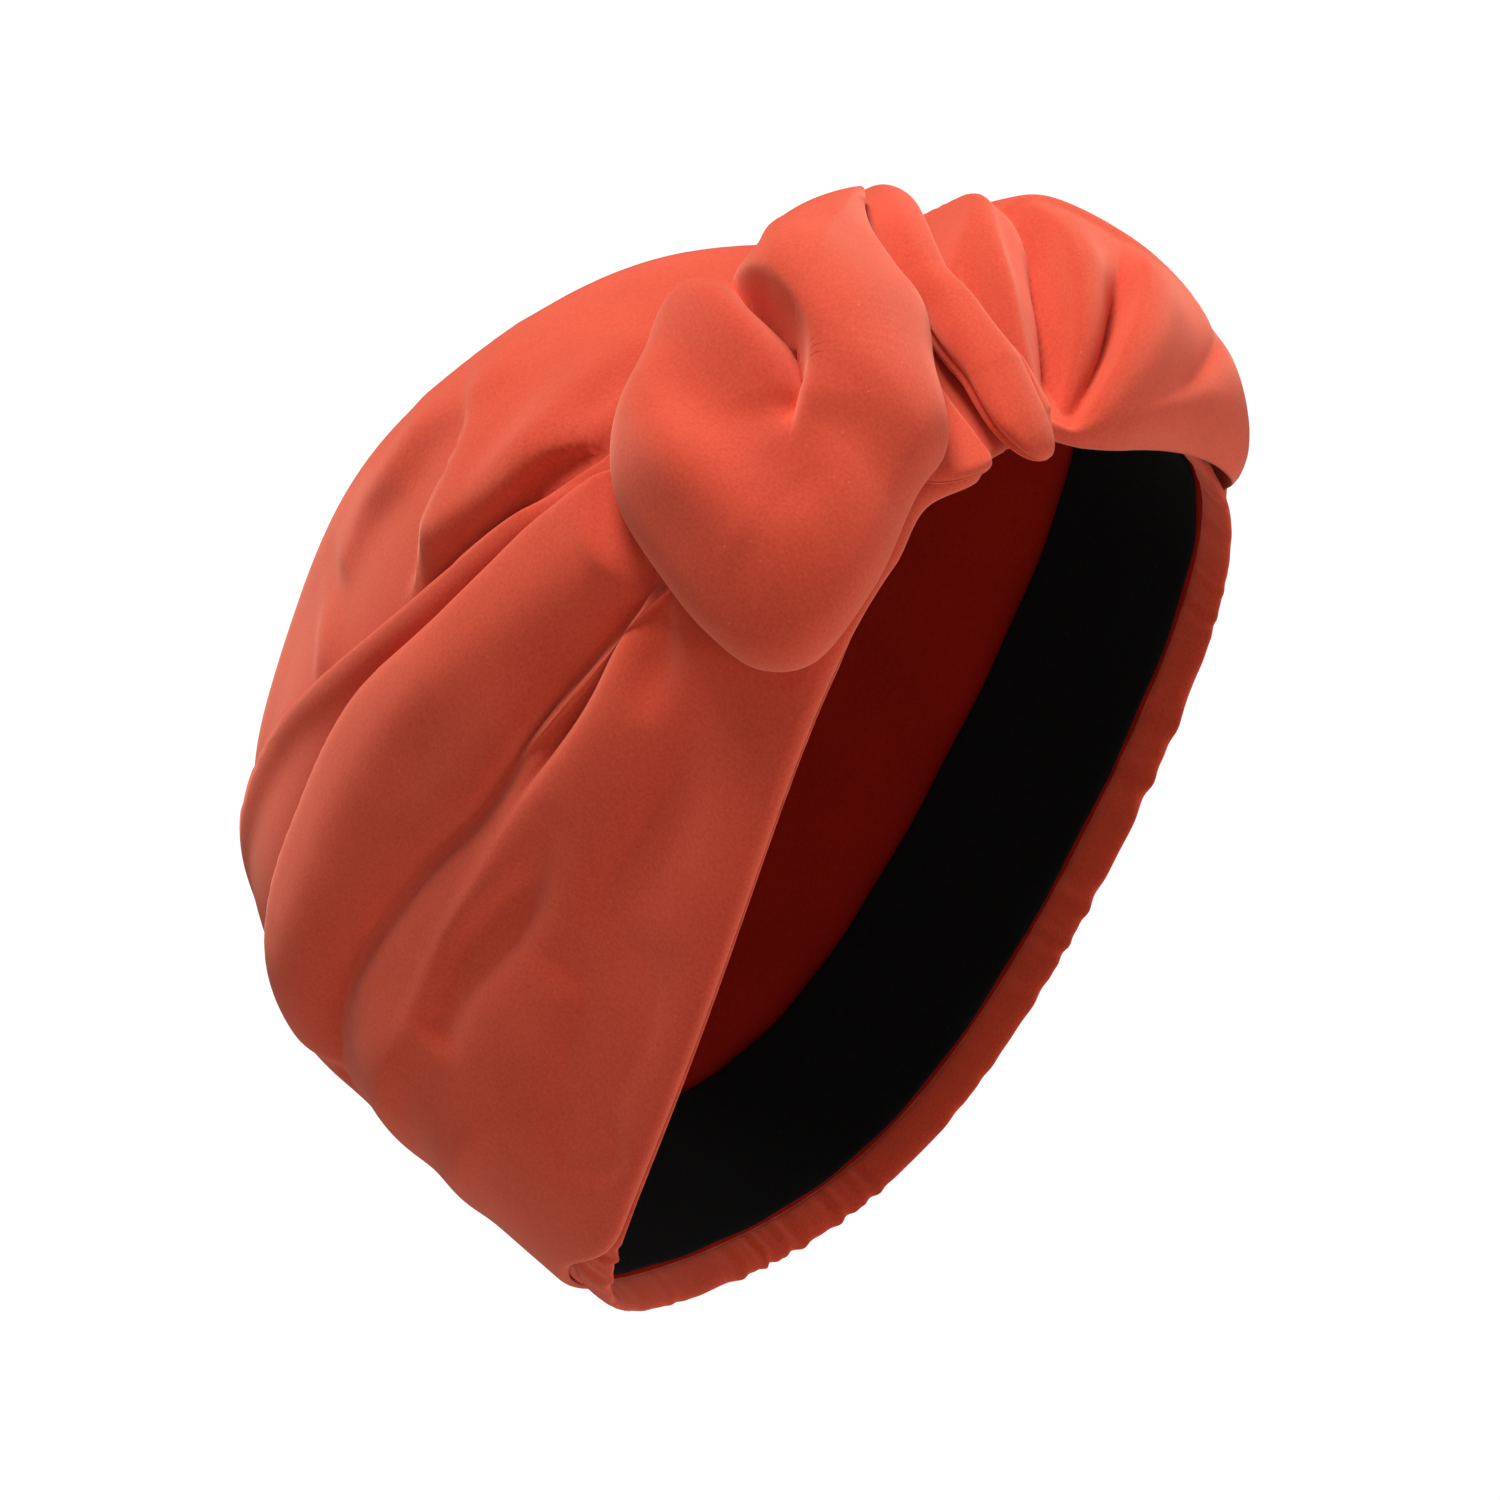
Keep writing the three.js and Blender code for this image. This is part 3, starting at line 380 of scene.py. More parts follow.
at_the_knot = ("deep crease at the knot", "lip in the crease", "crease under the lip",
               "hollow beside the loop", "thin pleat at the knot")
left_folds = mirrored([fold for fold in right_folds if fold[0] not in at_the_knot])

# %% Gathers over the brow on the wearer's left
gather_height = 18.0
gather_folds = [
    ("valley beside the roll", "crease", (2.0, 4.4, 4.0), 2.4, 2.4,
     [(0, 0.34), (-5.6, 0.26), (-9, 0.18), (-11, 0.1), (-11.5, 0.03), (-11, -0.01)]),
    ("first pleat", "ridge", (1.4, 2.8, 2.0), 2.4, 3.0,
     [(4, 0.35), (-1.5, 0.27), (-5.6, 0.19), (-8.8, 0.11), (-10.2, 0.02)]),
    ("main valley", "crease", (4.0, 12.5, 10.0), 2.2, 7.0,
     [(10, 0.37), (7.6, 0.32), (5, 0.264), (2, 0.21), (-1.4, 0.146), (-5.2, 0.069), (-8.4, 0.005)]),
    ("main pleat", "lap", (0.0, 2.8, 2.2), 7, 1.2,
     [(11.6, 0.37), (9.4, 0.32), (7, 0.264), (4.2, 0.21), (0.8, 0.146), (-3.4, 0.069),
      (-7.2, 0.008)]),
    ("notch", "crease", (0.6, 10.5, 8.5), 2.0, 5.6,
     [(15, 0.235), (10, 0.178), (5.4, 0.125), (0.4, 0.073), (-4.4, 0.028), (-8, -0.004)]),
    ("outer pleat", "lap", (0.0, 2.6, 1.8), 7.5, 1.4,
     [(19, 0.24), (13.4, 0.178), (8.4, 0.125), (3, 0.073), (-2.4, 0.026), (-6.6, -0.006)]),
    ("outer valley", "crease", (0.2, 2.6, 1.8), 2.4, 5.0,
     [(28, 0.19), (23, 0.115), (16, 0.05), (7, 0.0), (-2, -0.02)]),
    ("crown fold over the pleats", "lap", (0.0, 1.5, 0.4), 7, 1.8,
     [(3, 0.42), (9, 0.36), (15, 0.29), (20, 0.21), (24, 0.13)]),
]

# %% Soft folds of the crown
crown_folds = [
    ("long ridge", "lap", (0.8, 3.4, 2.4), 8, 2.4,
     [(-41, 0.705), (-49, 0.655), (-58, 0.617), (-67, 0.607), (-76, 0.61)]),
    ("upper ridge", "ridge", (1.4, 3.8, 1.6), 5, 9,
     [(-43, 0.67), (-47.4, 0.69), (-52, 0.735), (-59, 0.76), (-64, 0.79), (-73, 0.806)]),
    ("small pleat", "ridge", (0.3, 1.3, 0.8), 7, 4,
     [(-80, 0.84), (-85, 0.798), (-88, 0.774), (-93, 0.75)]),
    ("soft ridge", "ridge", (1.2, 3.0, 2.2), 5, 8,
     [(-34, 0.5), (-43.7, 0.508), (-49, 0.518), (-52.2, 0.529), (-56, 0.548), (-66, 0.585)]),
    ("ridge above the pinch", "lap", (2.6, 4.6, 1.6), 2.0, 6,
     [(-45, 0.41), (-48.6, 0.43), (-50.3, 0.461), (-52.3, 0.486), (-55.3, 0.504), (-61.7, 0.532),
      (-69, 0.58)]),
    ("top fold", "ridge", (0.4, 1.6, 1.9), 9, 9,
     [(-30, 0.74), (-50, 0.83), (-84, 0.93), (-130, 0.93)]),
    ("front swell", "ridge", (0.6, 5.1, 3.5), 22, 24,
     [(-48, 0.78), (-30, 0.73), (-10, 0.66), (6, 0.61), (26, 0.62)]),
]
crown_folds += mirrored([fold for fold in crown_folds if fold[0] in ("small pleat", "top fold")])

# %% Knot: the roll's middle line and the outlines of the loop and the tuck
roll_rows = [  # turn, rise, then shares of roll_seat, roll_half_width and roll_height
    (5, 0.5, 1.04, 0.95, 1.05),
    (-1, 0.42, 1.07, 1.05, 1.1),
    (-8, 0.33, 1.05, 0.98, 1.08),
    (-12.5, 0.25, 0.95, 0.9, 1.0),
    (-14, 0.19, 0.92, 0.98, 1.05),
    (-15.4, 0.14, 0.9, 1.16, 1.05),
    (-16, 0.09, 0.85, 1.3, 1.0),
    (-17.2, 0.02, 0.67, 1.36, 0.8),
    (-16.5, -0.035, 0.43, 1.1, 0.6),
]
roll_line = [row[:2] for row in roll_rows]
loop_outline = [
    (-3, 0.43), (-10, 0.435), (-20, 0.415), (-28, 0.378), (-34, 0.422), (-42, 0.404), (-50, 0.37),
    (-55, 0.319), (-59, 0.219), (-61, 0.137), (-61, 0.063), (-57, 0.005), (-46, -0.012),
    (-36, 0.015), (-30, 0.03), (-24, 0.115), (-18.6, 0.189), (-16.2, 0.26), (-12.3, 0.34),
    (-6, 0.41),
]
loop_middle = (-37, 0.21)
tuck_outline = [
    (-17.6, 0.2), (-22, 0.22), (-28, 0.18), (-34, 0.09), (-32, 0.02), (-24.8, -0.01), (-23.8, 0.02),
    (-22, 0.09), (-20.6, 0.14),
]
tuck_middle = (-25.5, 0.1)
loop_folds = [
    ("fold over the pocket", "lap", (2.0, 5.2, 2.0), 11, 1.1,
     [(-26, 0.4), (-29, 0.37), (-30.8, 0.323), (-31.9, 0.274), (-33.5, 0.22), (-35.6, 0.187),
      (-38.2, 0.172)]),
    ("pocket", "crease", (8.0, 11.0, 8.0), 1.0, 4.6,
     [(-27.5, 0.4), (-30, 0.36), (-32, 0.32), (-33.2, 0.272), (-34.8, 0.222), (-36.8, 0.19),
      (-38.6, 0.176)]),
    ("tongue", "ridge", (2.0, 3.4, 1.5), 3.6, 6,
     [(-32, 0.4), (-35, 0.332), (-36.6, 0.292), (-38, 0.248), (-39, 0.208), (-39.4, 0.17)]),
    ("trough", "hollow", (1.0, 5.0, 2.0), 5, 6,
     [(-38, 0.38), (-41, 0.305), (-42.6, 0.239), (-44, 0.176), (-45.5, 0.12)]),
    ("left lobe", "ridge", (2.0, 3.8, 1.6), 5, 6,
     [(-45, 0.36), (-47.4, 0.306), (-48.6, 0.247), (-49, 0.199), (-49.5, 0.14)]),
]
print("folds drawn:", len(right_folds) + len(gather_folds) + len(crown_folds) + len(loop_folds))

# %% [markdown]
# ## An outline as a distance in each direction
# A pad of cloth inside an outline is easiest to build in rings that shrink towards its
# middle, so the outline is turned into a radius at every angle.


# %% Outlines
knot_reach = 0.84  # how far out the knot stands, as a share of the opening's half length
mm_per_degree = math.radians(opening_half_length * knot_reach)


def blend(t, start, end, first, last):
    """A straight blend, first at start and last at end."""
    return ((end - t) * first + (t - start) * last) / (end - start)


def closed_curve(spots, steps=12):
    """Centripetal Catmull-Rom through the spots and back to the first."""
    curve = []
    count = len(spots)
    for index in range(count):
        a, b, c, d = (spots[(index + shift) % count] for shift in (-1, 0, 1, 2))
        gaps = [np.linalg.norm(q - p) ** 0.5 for p, q in ((a, b), (b, c), (c, d))]
        t0, t1, t2, t3 = np.cumsum([0.0] + gaps)
        for t in np.linspace(t1, t2, steps, endpoint=False):
            ab = blend(t, t0, t1, a, b)
            bc = blend(t, t1, t2, b, c)
            cd = blend(t, t2, t3, c, d)
            low = blend(t, t0, t2, ab, bc)
            high = blend(t, t1, t3, bc, cd)
            curve.append(blend(t, t1, t2, low, high))
    return np.array(curve)


class Outline:
    def __init__(self, rows, middle):
        self.middle = middle
        spots = np.array(rows, float) - middle
        spots = spots * (mm_per_degree, crown_depth)
        curve = closed_curve(spots)
        angle = np.arctan2(curve[:, 1], curve[:, 0])
        order = np.argsort(angle)
        self.angles = angle[order]
        self.radii = np.hypot(curve[:, 0], curve[:, 1])[order]

    def radius(self, angle):
        return np.interp(angle, self.angles, self.radii, period=2 * math.pi)

    def place(self, angle, share):
        reach = self.radius(angle) * share
        turn = self.middle[0] + reach * np.cos(angle) / mm_per_degree
        rise = self.middle[1] + reach * np.sin(angle) / crown_depth
        return turn, rise

    def share_at(self, turn, rise):
        x = (turn - self.middle[0]) * mm_per_degree
        y = (rise - self.middle[1]) * crown_depth
        return np.hypot(x, y) / self.radius(np.arctan2(y, x))


loop_plan = Outline(loop_outline, loop_middle)
tuck_plan = Outline(tuck_outline, tuck_middle)
print("the loop reaches", round(float(loop_plan.radii.max())), "mm from its middle")

# %% [markdown]
# ## How far each layer stands off the form
# The layers are stacked like the real ones: crown, wraps, tuck, loop and roll. Each starts
# from the one below it plus a hair of clearance, so nothing pokes through.


# %% Lift of the crown
parting_turn = -14.0
crown_shows = 0.065  # rise above the wraps' upper edge over which the crown's folds grow
crown_hidden = 0.005


def crown_cover(turn, rise):
    upper = np.where(
        turn < parting_turn, trace(right_upper_edge, turn), trace(left_upper_edge, turn)
    )
    lift, slide = lay_folds(crown_folds, turn, rise)
    shown = smooth(upper - crown_hidden, upper + crown_shows, rise)
    return np.maximum(0.0, lift) * shown, slide * shown[..., None]


def over_crown(turn, rise, turn_step=3, rise_step=0.03, highest=0.99):
    """The lowest lift that clears the crown's folds at a place and just beside it."""
    around = [(0, 0), (0, -rise_step), (0, rise_step), (-turn_step, 0), (turn_step, 0)]
    lifts = [crown_cover(turn + a, np.minimum(rise + b, highest))[0] for a, b in around]
    return np.max(lifts, axis=0) + clearance


# %% Room under the roll and under the loop
roll_side_slope = 3.0
roll_side_gap = 3 * clearance
flat_lift = clearance + 1.9 * cloth_wall
loop_skirt = 1.14  # share of the loop's outline beyond which a wrap rises freely
knot_fade = (-44, -37)  # turns between which the right wrap is pressed flat under the knot


def roll_section(share):
    """The lift of the roll's middle line, and its half width and half height, in mm."""
    at = np.clip(share, 0, 1)
    marks = np.linspace(0, 1, len(roll_rows))
    seat, width, height = (np.interp(at, marks, column) for column in np.array(roll_rows).T[2:])
    return roll_seat * seat, roll_half_width * width, roll_height / 2 * height


def under_roll(turn, rise, lift):
    """A lift held below the roll; beside the roll it may rise again, along a steep slope."""
    away, share, _, past = measure(turn, rise, roll_line)
    seat, half_width, half_height = roll_section(share)
    underside = seat - half_height + roll_nest
    beside = np.maximum(0.0, np.hypot(away, past) - half_width - roll_side_gap)
    return np.minimum(lift, underside + roll_side_slope * beside)


def under_knot(turn, rise, lift):
    under_loop = 1.0 - smooth(1.0, loop_skirt, loop_plan.share_at(turn, rise))
    cover = np.maximum(under_loop, smooth(*knot_fade, turn))
    return lift + (np.minimum(lift, flat_lift) - lift) * cover


# %% [markdown]
# ## From a grid to a mesh
# Every layer is a grid of places: an outer and an inner skin, joined along the edges, so the
# cloth has a real thickness. Closed rings, such as the band, are grids whose ends meet.


# %% Mesh tools
def new_piece(name, points, faces, node, slot):
    mesh = bpy.data.meshes.new(name)
    mesh.from_pydata(worn(points).tolist(), [], faces.tolist())
    mesh.update()
    mesh.polygons.foreach_set("use_smooth", np.ones(len(mesh.polygons), dtype=bool))
    piece = bpy.data.objects.new(name, mesh)
    bpy.context.scene.collection.objects.link(piece)
    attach(piece, "root")
    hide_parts(node)
    print(name, "has", len(mesh.polygons), "faces and is", size_text(worn(points)))
    return piece


def size_text(points):
    spans = np.ptp(points.reshape(-1, 3), axis=0) * 1000
    return " x ".join(f"{span:.0f}" for span in spans) + " mm"


def grid_faces(rows, columns, wrap_rows=False, wrap_columns=False):
    index = np.arange(rows * columns).reshape(rows, columns)
    below = index if wrap_rows else index[:-1]
    above = np.roll(index, -1, axis=0) if wrap_rows else index[1:]
    if wrap_columns:
        corners = [below, np.roll(below, -1, 1), np.roll(above, -1, 1), above]
    else:
        corners = [below[:, :-1], below[:, 1:], above[:, 1:], above[:, :-1]]
    return np.stack([corner.ravel() for corner in corners], axis=1)


def facing_out(points, faces):
    """Turns all the faces round if the closed mesh would be inside out."""
    a, b, c, d = (points[faces[:, corner]] for corner in range(4))
    volume = (a * np.cross(b, c)).sum() + (a * np.cross(c, d)).sum()
    return faces if volume > 0 else faces[:, ::-1]


def cloth_between(outer, inner):
    """Points and faces of a cloth between two skins of the same grid."""
    rows, columns = outer.shape[:2]
    skin = grid_faces(rows, columns)
    index = np.arange(rows * columns).reshape(rows, columns)
    rim = np.concatenate([index[0, :-1], index[:-1, -1], index[-1, :0:-1], index[:0:-1, 0]])
    after = np.roll(rim, -1)
    far = rows * columns
    edge = np.stack([rim, rim + far, after + far, after], axis=1)
    points = np.concatenate([outer.reshape(-1, 3), inner.reshape(-1, 3)])
    faces = np.concatenate([skin, skin[:, ::-1] + far, edge])
    return points, facing_out(points, faces)


def closed_pad(rings):
    """Points and faces of a pad whose first and last rings have shrunk to a point."""
    rows, sides = rings.shape[:2]
    points = rings.reshape(-1, 3)
    return points, facing_out(points, grid_faces(rows, sides, wrap_columns=True))


# %% [markdown]
# ## Crown
# The crown is the soft cap over the top of the head. Its folds are pulled towards the knot.
# Rows are closer together near the top, where the dome flattens. At the brow the casing is
# drawn up behind the knot, and the crown's foot rises with it.


# %% Rim lines
tuck_up_turn = -8
tuck_up_fade = (22, 50)


def rim_lift(turn):
    away = np.abs(turn - tuck_up_turn)
    return hem_tuck_up / crown_depth * (1.0 - smooth(*tuck_up_fade, away))


def hem_foot(turn):
    return rim_lift(turn) - hem_drop / crown_depth


def hem_top(turn):
    return hem_foot(turn) + hem_width / crown_depth


def crown_foot(turn):
    return hem_top(turn) + clearance / crown_depth


# %% Crown
crown_last_row = 0.995  # the two poles close the small hole that is left at the top
inside_follow = 0.8  # how much of a fold shows on the inside


def make_crown(columns=340, rows=96):
    turn = np.linspace(-180, 180, columns, endpoint=False)[None, :]
    climb = np.sin(np.pi / 2 * np.linspace(0, crown_last_row, rows)) ** (2 / rise_round)
    rise = crown_foot(turn) + (1 - crown_foot(turn)) * climb[:, None]
    turn = np.broadcast_to(turn, rise.shape)
    lift, slide = crown_cover(turn, rise)
    outer = cloth_point(turn, rise, lift, slide)
    inner = cloth_point(turn, rise, inside_follow * lift - cloth_wall, slide)
    top = form_point(np.array(0.0), np.array(1.0))
    pole = np.broadcast_to(top, (1, columns, 3))
    rings = np.concatenate([inner, pole - (0, 0, cloth_wall), pole, outer[::-1]])
    points = rings.reshape(-1, 3)
    faces = grid_faces(len(rings), columns, wrap_rows=True, wrap_columns=True)
    piece = new_piece("crown_cloth", points, facing_out(points, faces), "crown", "coral_cloth")
    # The inner skin takes the wrong side's material, whose deep red is painted shade for the dim
    # inside of the crown
    inner_skin_painted_shade = np.arange(len(faces)) < columns * rows
    piece.data.polygons.foreach_set("material_index", inner_skin_painted_shade.astype(np.int32))
    return piece


crown = make_crown()

# %% [markdown]
# ## Wraps
# The right wrap has the deep pleats, and the left one is full and gathered over the brow. At
# the knot both are drawn in under the roll, and the cloth is turned in along its edges.


# %% Grid of a wrap
parting_gap = 0.8  # degrees from the roll's middle line to the start of each wrap
back_seam_turn = 179.85
even_across = 0.35  # the rest draws the rows together towards the rim
row_crowding = 1.2
even_along = 0.6  # the rest draws the columns together towards the knot
roll_turns = [(rise, turn) for turn, rise in roll_line]
settle_rounds = 8


def wrap_places(end, edges, columns, rows):
    """Turn and rise of a wrap's grid, from the parting under the roll to the back."""
    across = np.linspace(0, 1, rows)[:, None]
    share = even_across * across + (1 - even_across) * across**row_crowding
    along = np.linspace(0, 1, columns)[None, :]
    start = np.full((rows, 1), parting_turn)
    for _ in range(settle_rounds):
        low, high = (trace(edge, start) for edge in edges)
        start = trace(roll_turns, low + share * (high - low)) + math.copysign(parting_gap, end)
    turn = start + (end - start) * (even_along * along + (1 - even_along) * along**2)
    low, high = (trace(edge, turn) for edge in edges)
    return turn, low + share * (high - low), np.broadcast_to(share, turn.shape)


def turned_edge(turn, rise, edges):
    """A share that falls to 0 over the last millimetres before either edge."""
    low, high = (trace(edge, turn) for edge in edges)
    return rounded(np.minimum(rise - low, high - rise) * crown_depth / edge_radius)


# %% Lifts of the wraps
back_puff = 1.75  # mm that a wrap swells between its edges
side_puff = 2.4  # mm more on the wearer's right side
puff_round = 0.6
back_puff_fade = (-145, -110)
side_puff_fade = (-104, -76)
side_fade = (36, 62)  # turns between which the side pleats of the left wrap grow
back_fade = (158, 120)  # turns between which the pleats sink towards the back seam
back_share = 0.15
foot_fade = (0, 0.06)  # share across a wrap in which its pleats die away at the rim
gather_fade = (-20, 6, 18, 46)  # turns where the gathers start, are full, ebb and end
crease_fade = (-17, -4, 22, 46)  # the same for the pleats in them
gather_climb = 0.22  # rise over which they swell up from the brow
pleat_climb = (0, 0.25)
gather_ebb = (0.32, 0.56)  # rises between which they sink onto the crown
gather_ebb_share = 0.92


def between(turn, start, full, ebb, end):
    return smooth(start, full, turn) * (1 - smooth(ebb, end, turn))


def settled(turn):
    return back_share + (1 - back_share) * smooth(*back_fade, np.abs(turn))


def right_lift(turn, rise, share):
    full_at = back_puff * smooth(*back_puff_fade, turn) + side_puff * smooth(*side_puff_fade, turn)
    puff = full_at * np.sin(np.pi * share) ** puff_round
    folds, slide = lay_folds(right_folds, turn, rise)
    fade = smooth(*foot_fade, share) * settled(turn)
    floor = over_crown(turn, rise)
    lift = np.maximum(clearance + cloth_wall + puff + folds * fade, floor + least_wall)
    lift = under_roll(turn, rise, under_knot(turn, rise, lift))
    return lift, slide * fade[..., None], floor


def left_lift(turn, rise, share):
    climb = (rise - trace(left_lower_edge, turn)) / gather_climb
    ebb = 1 - gather_ebb_share * smooth(*gather_ebb, rise)
    swell = gather_height * between(turn, *gather_fade) * rounded(climb) * ebb
    pleats, slide = lay_folds(gather_folds, turn, rise)
    held = between(turn, *crease_fade) * smooth(*pleat_climb, climb)
    side_folds, side_slide = lay_folds(left_folds, turn, rise)
    beside = smooth(*side_fade, turn) * settled(turn) * smooth(*foot_fade, share)
    puff = back_puff * np.sin(np.pi * share)
    floor = over_crown(turn, rise)
    full = clearance + cloth_wall + puff + swell + pleats * held + side_folds * beside
    lift = under_roll(turn, rise, np.maximum(full, floor + least_wall))
    return lift, slide * held[..., None] + side_slide * beside[..., None], floor


# %% Wraps
edge_wall_share = 0.35


def make_wrap(name, node, end, edges, lift_at, columns=330, rows=140):
    turn, rise, share = wrap_places(end, edges, columns, rows)
    lift, slide, floor = lift_at(turn, rise, share)
    low = np.maximum(floor, lift - wrap_wall)
    inside = turned_edge(turn, rise, edges)
    wall = (lift - low) * (edge_wall_share + (1 - edge_wall_share) * inside)
    outer = cloth_point(turn, rise, low + wall, slide)
    inner = cloth_point(turn, rise, low, slide)
    return new_piece(name, *cloth_between(outer, inner), node, "coral_cloth")


right_edges = (right_lower_edge, right_upper_edge)
left_edges = (left_lower_edge, left_upper_edge)
wrap_right = make_wrap(
    "wrap_right_cloth", "wrap_right", -back_seam_turn, right_edges, right_lift
)
wrap_left = make_wrap("wrap_left_cloth", "wrap_left", back_seam_turn, left_edges, left_lift)

# %% [markdown]
# ## Knot
# The loop is a doubled flap of cloth, puffed up and folded back on itself so that a pocket
# shows at its top. It is one pad in rings. The tuck is the flat layer beside it, and the roll
# is a twisted strand that binds both.


# %% Pad tools
def pad_shares(first, rings):
    """Shares from near the middle of a pad to its edge, closer together at the edge."""
    return np.sin(np.pi / 2 * np.linspace(first, 1, rings))


def make_pad(name, node, plan, sides, top_shares, top_at, under_at, under_step):
    """A pad in rings; its underside is out of sight and takes only one ring in under_step."""
    angle = np.linspace(-np.pi, np.pi, sides, endpoint=False)[None, :]
    rings = []
    for shares, lift_at in ((top_shares, top_at), (top_shares[::-under_step], under_at)):
        share = np.broadcast_to(np.array(shares)[:, None], (len(shares), sides))
        turn, rise = plan.place(angle, share)
        lift, slide = lift_at(turn, rise, share, (1 - share) * plan.radius(angle))
        rings.append(cloth_point(turn, rise, lift, slide))
    return new_piece(name, *closed_pad(np.concatenate(rings)), node, "coral_cloth")


# %% Loop and tuck
tuck_seat = flat_lift + clearance
tuck_middle_lift = tuck_seat + tuck_thickness / 2
tuck_fade = (-40, -33)  # turns between which the loop climbs onto the tuck
loop_dome = loop_height - loop_edge - loop_underside
dome_round = 2.6
hold_round = 4


def rounded_step(distance, radius):
    return radius * rounded(distance / radius)


def loop_floor(turn):
    over_tuck = tuck_seat + tuck_thickness + clearance
    return loop_seat + (over_tuck - loop_seat) * smooth(*tuck_fade, turn) + loop_underside


def loop_top(turn, rise, share, inward):
    folds, slide = lay_folds(loop_folds, turn, rise)
    held = 1 - share**hold_round
    dome = loop_dome * (1 - share**dome_round)
    lift = loop_floor(turn) + rounded_step(inward, loop_edge) + dome + folds * held
    return lift, slide * held[..., None]


def loop_under(turn, rise, share, inward):
    return loop_floor(turn) - rounded_step(inward, loop_underside), 0.0


def tuck_top(turn, rise, share, inward):
    return tuck_middle_lift + rounded_step(inward, tuck_thickness / 2), 0.0


def tuck_under(turn, rise, share, inward):
    return tuck_middle_lift - rounded_step(inward, tuck_thickness / 2), 0.0


loop_shares = pad_shares(first=0.001, rings=110)
knot_loop = make_pad(
    "knot_loop_cloth", "knot_loop", loop_plan, 360, loop_shares, loop_top, loop_under, 4
)
tuck_shares = pad_shares(first=0.002, rings=30)
knot_tuck = make_pad(
    "knot_tuck_cloth", "knot_tuck", tuck_plan, 160, tuck_shares, tuck_top, tuck_under, 2
)

# %% [markdown]
# ### Roll
# A round section is carried along the roll's path. Sharp grooves in it turn slowly, which
# the eye reads as strands of cloth twisted together.


# %% Roll
# Each groove: its angle round the section at the top and at the foot of the roll, its depth
# as a share of the section's radius, and its width in degrees
roll_grooves = [
    (150, 126, 0.36, 14),
    (178, 152, 0.22, 9),
    (-44, -8, 0.2, 14),
    (215, 300, 0.3, 18),
]
groove_settles = 0.8  # share of the roll's length at which the grooves stop turning
roll_half_span = 0.4985  # a little under a half, so the end sections keep some size
end_squareness = 8
ripple_depth = 0.012
ripples_round = 7
ripple_twist = 9


def make_roll(steps=320, sides=150):
    share = 0.5 - roll_half_span * np.cos(np.linspace(0, np.pi, steps))
    path = smooth_path(roll_line, steps=40)
    along = np.linspace(0, 1, len(path))
    turn = np.interp(share, along, path[:, 0])
    rise = np.interp(share, along, path[:, 1])
    seat, half_width, half_height = roll_section(share)
    middle = cloth_point(turn, rise, seat)
    forward = unit(np.gradient(middle, axis=0))
    sideways = unit(np.cross(forward, form_normal(turn, rise)))
    outward = np.cross(sideways, forward)
    end_round = np.sqrt(np.clip(1 - np.abs(2 * share - 1) ** end_squareness, 0, 1))
    half_width = half_width * end_round
    half_height = half_height * end_round
    angle = np.linspace(0, 2 * np.pi, sides, endpoint=False)[None, :]
    reach = np.ones((steps, sides))
    for start, end, depth, width in roll_grooves:
        line = np.radians(start + (end - start) * smooth(0, groove_settles, share))[:, None]
        away = np.abs((angle - line + np.pi) % (2 * np.pi) - np.pi)
        reach -= depth * np.exp(-away / np.radians(width))
    reach -= ripple_depth * np.sin(ripples_round * angle + ripple_twist * share[:, None])
    rings = (
        middle[:, None]
        + sideways[:, None] * (half_width[:, None] * np.cos(angle) * reach)[..., None]
        + outward[:, None] * (half_height[:, None] * np.sin(angle) * reach)[..., None]
    )
    return new_piece("knot_roll_cloth", *closed_pad(rings), "knot_roll", "coral_cloth")


knot_roll = make_roll()

# %% [markdown]
# ## Inner band and rim casing
# A knitted elastic band lies inside the rim. The casing below it is a tube of cloth drawn up
# over an elastic, so it puckers all round, in waves that wander and come and go.


# %% Ring tools
def make_ring(name, node, slot, columns, section):
    turn = np.linspace(-180, 180, columns, endpoint=False)
    rise, lift = section(turn[None, :])
    points = cloth_point(np.broadcast_to(turn, rise.shape), rise, lift).reshape(-1, 3)
    faces = grid_faces(*rise.shape, wrap_rows=True, wrap_columns=True)
    return new_piece(name, points, facing_out(points, faces), node, slot)


def squared(wave, power):
    """A sine or cosine whose tops are flattened, which squares a round section."""
    return np.sign(wave) * np.abs(wave) ** power


def waves(around, rows):
    """A sum of waves round the rim, from rows of size, count and start."""
    return sum(size * np.sin(around * count + start) for size, count, start in rows)


# %% Inner band
band_ripple = 0.25  # mm that the two edges of the band swell in and out
band_ripple_count = 23
band_ripple_edge = 8
band_square = 0.25
band_square_edge = 0.6


def band_section(turn):
    angle = np.linspace(0, 2 * np.pi, 64, endpoint=False)[:, None]
    across = squared(np.cos(angle), band_square)
    depth = squared(np.sin(angle), band_square_edge)
    middle = -cloth_wall - 2 * clearance - band_wall / 2
    rise = crown_foot(turn) + (1 + across) / 2 * band_width / crown_depth
    ripple = waves(np.radians(turn), [(band_ripple, band_ripple_count, 0.0)])
    return rise, middle + band_wall / 2 * depth + ripple * np.abs(across) ** band_ripple_edge


# %% Rim casing
casing_square = 0.7
pucker_wander = [(0.05, 7, 0.0), (0.03, 17, 2.0)]
pucker_waves = [(0.6, 58, 0.0), (0.4, 97, 1.3)]
pucker_swing = (0.35, 5, 0.6)
pucker_thinning = 0.3  # share of the casing's thickness
pucker_edge = 0.004  # rise that a pucker pulls the free edge up or down
free_on_left = (20, 40)  # turns from which the edge hangs free of the wraps
free_on_right = (-120, -135)


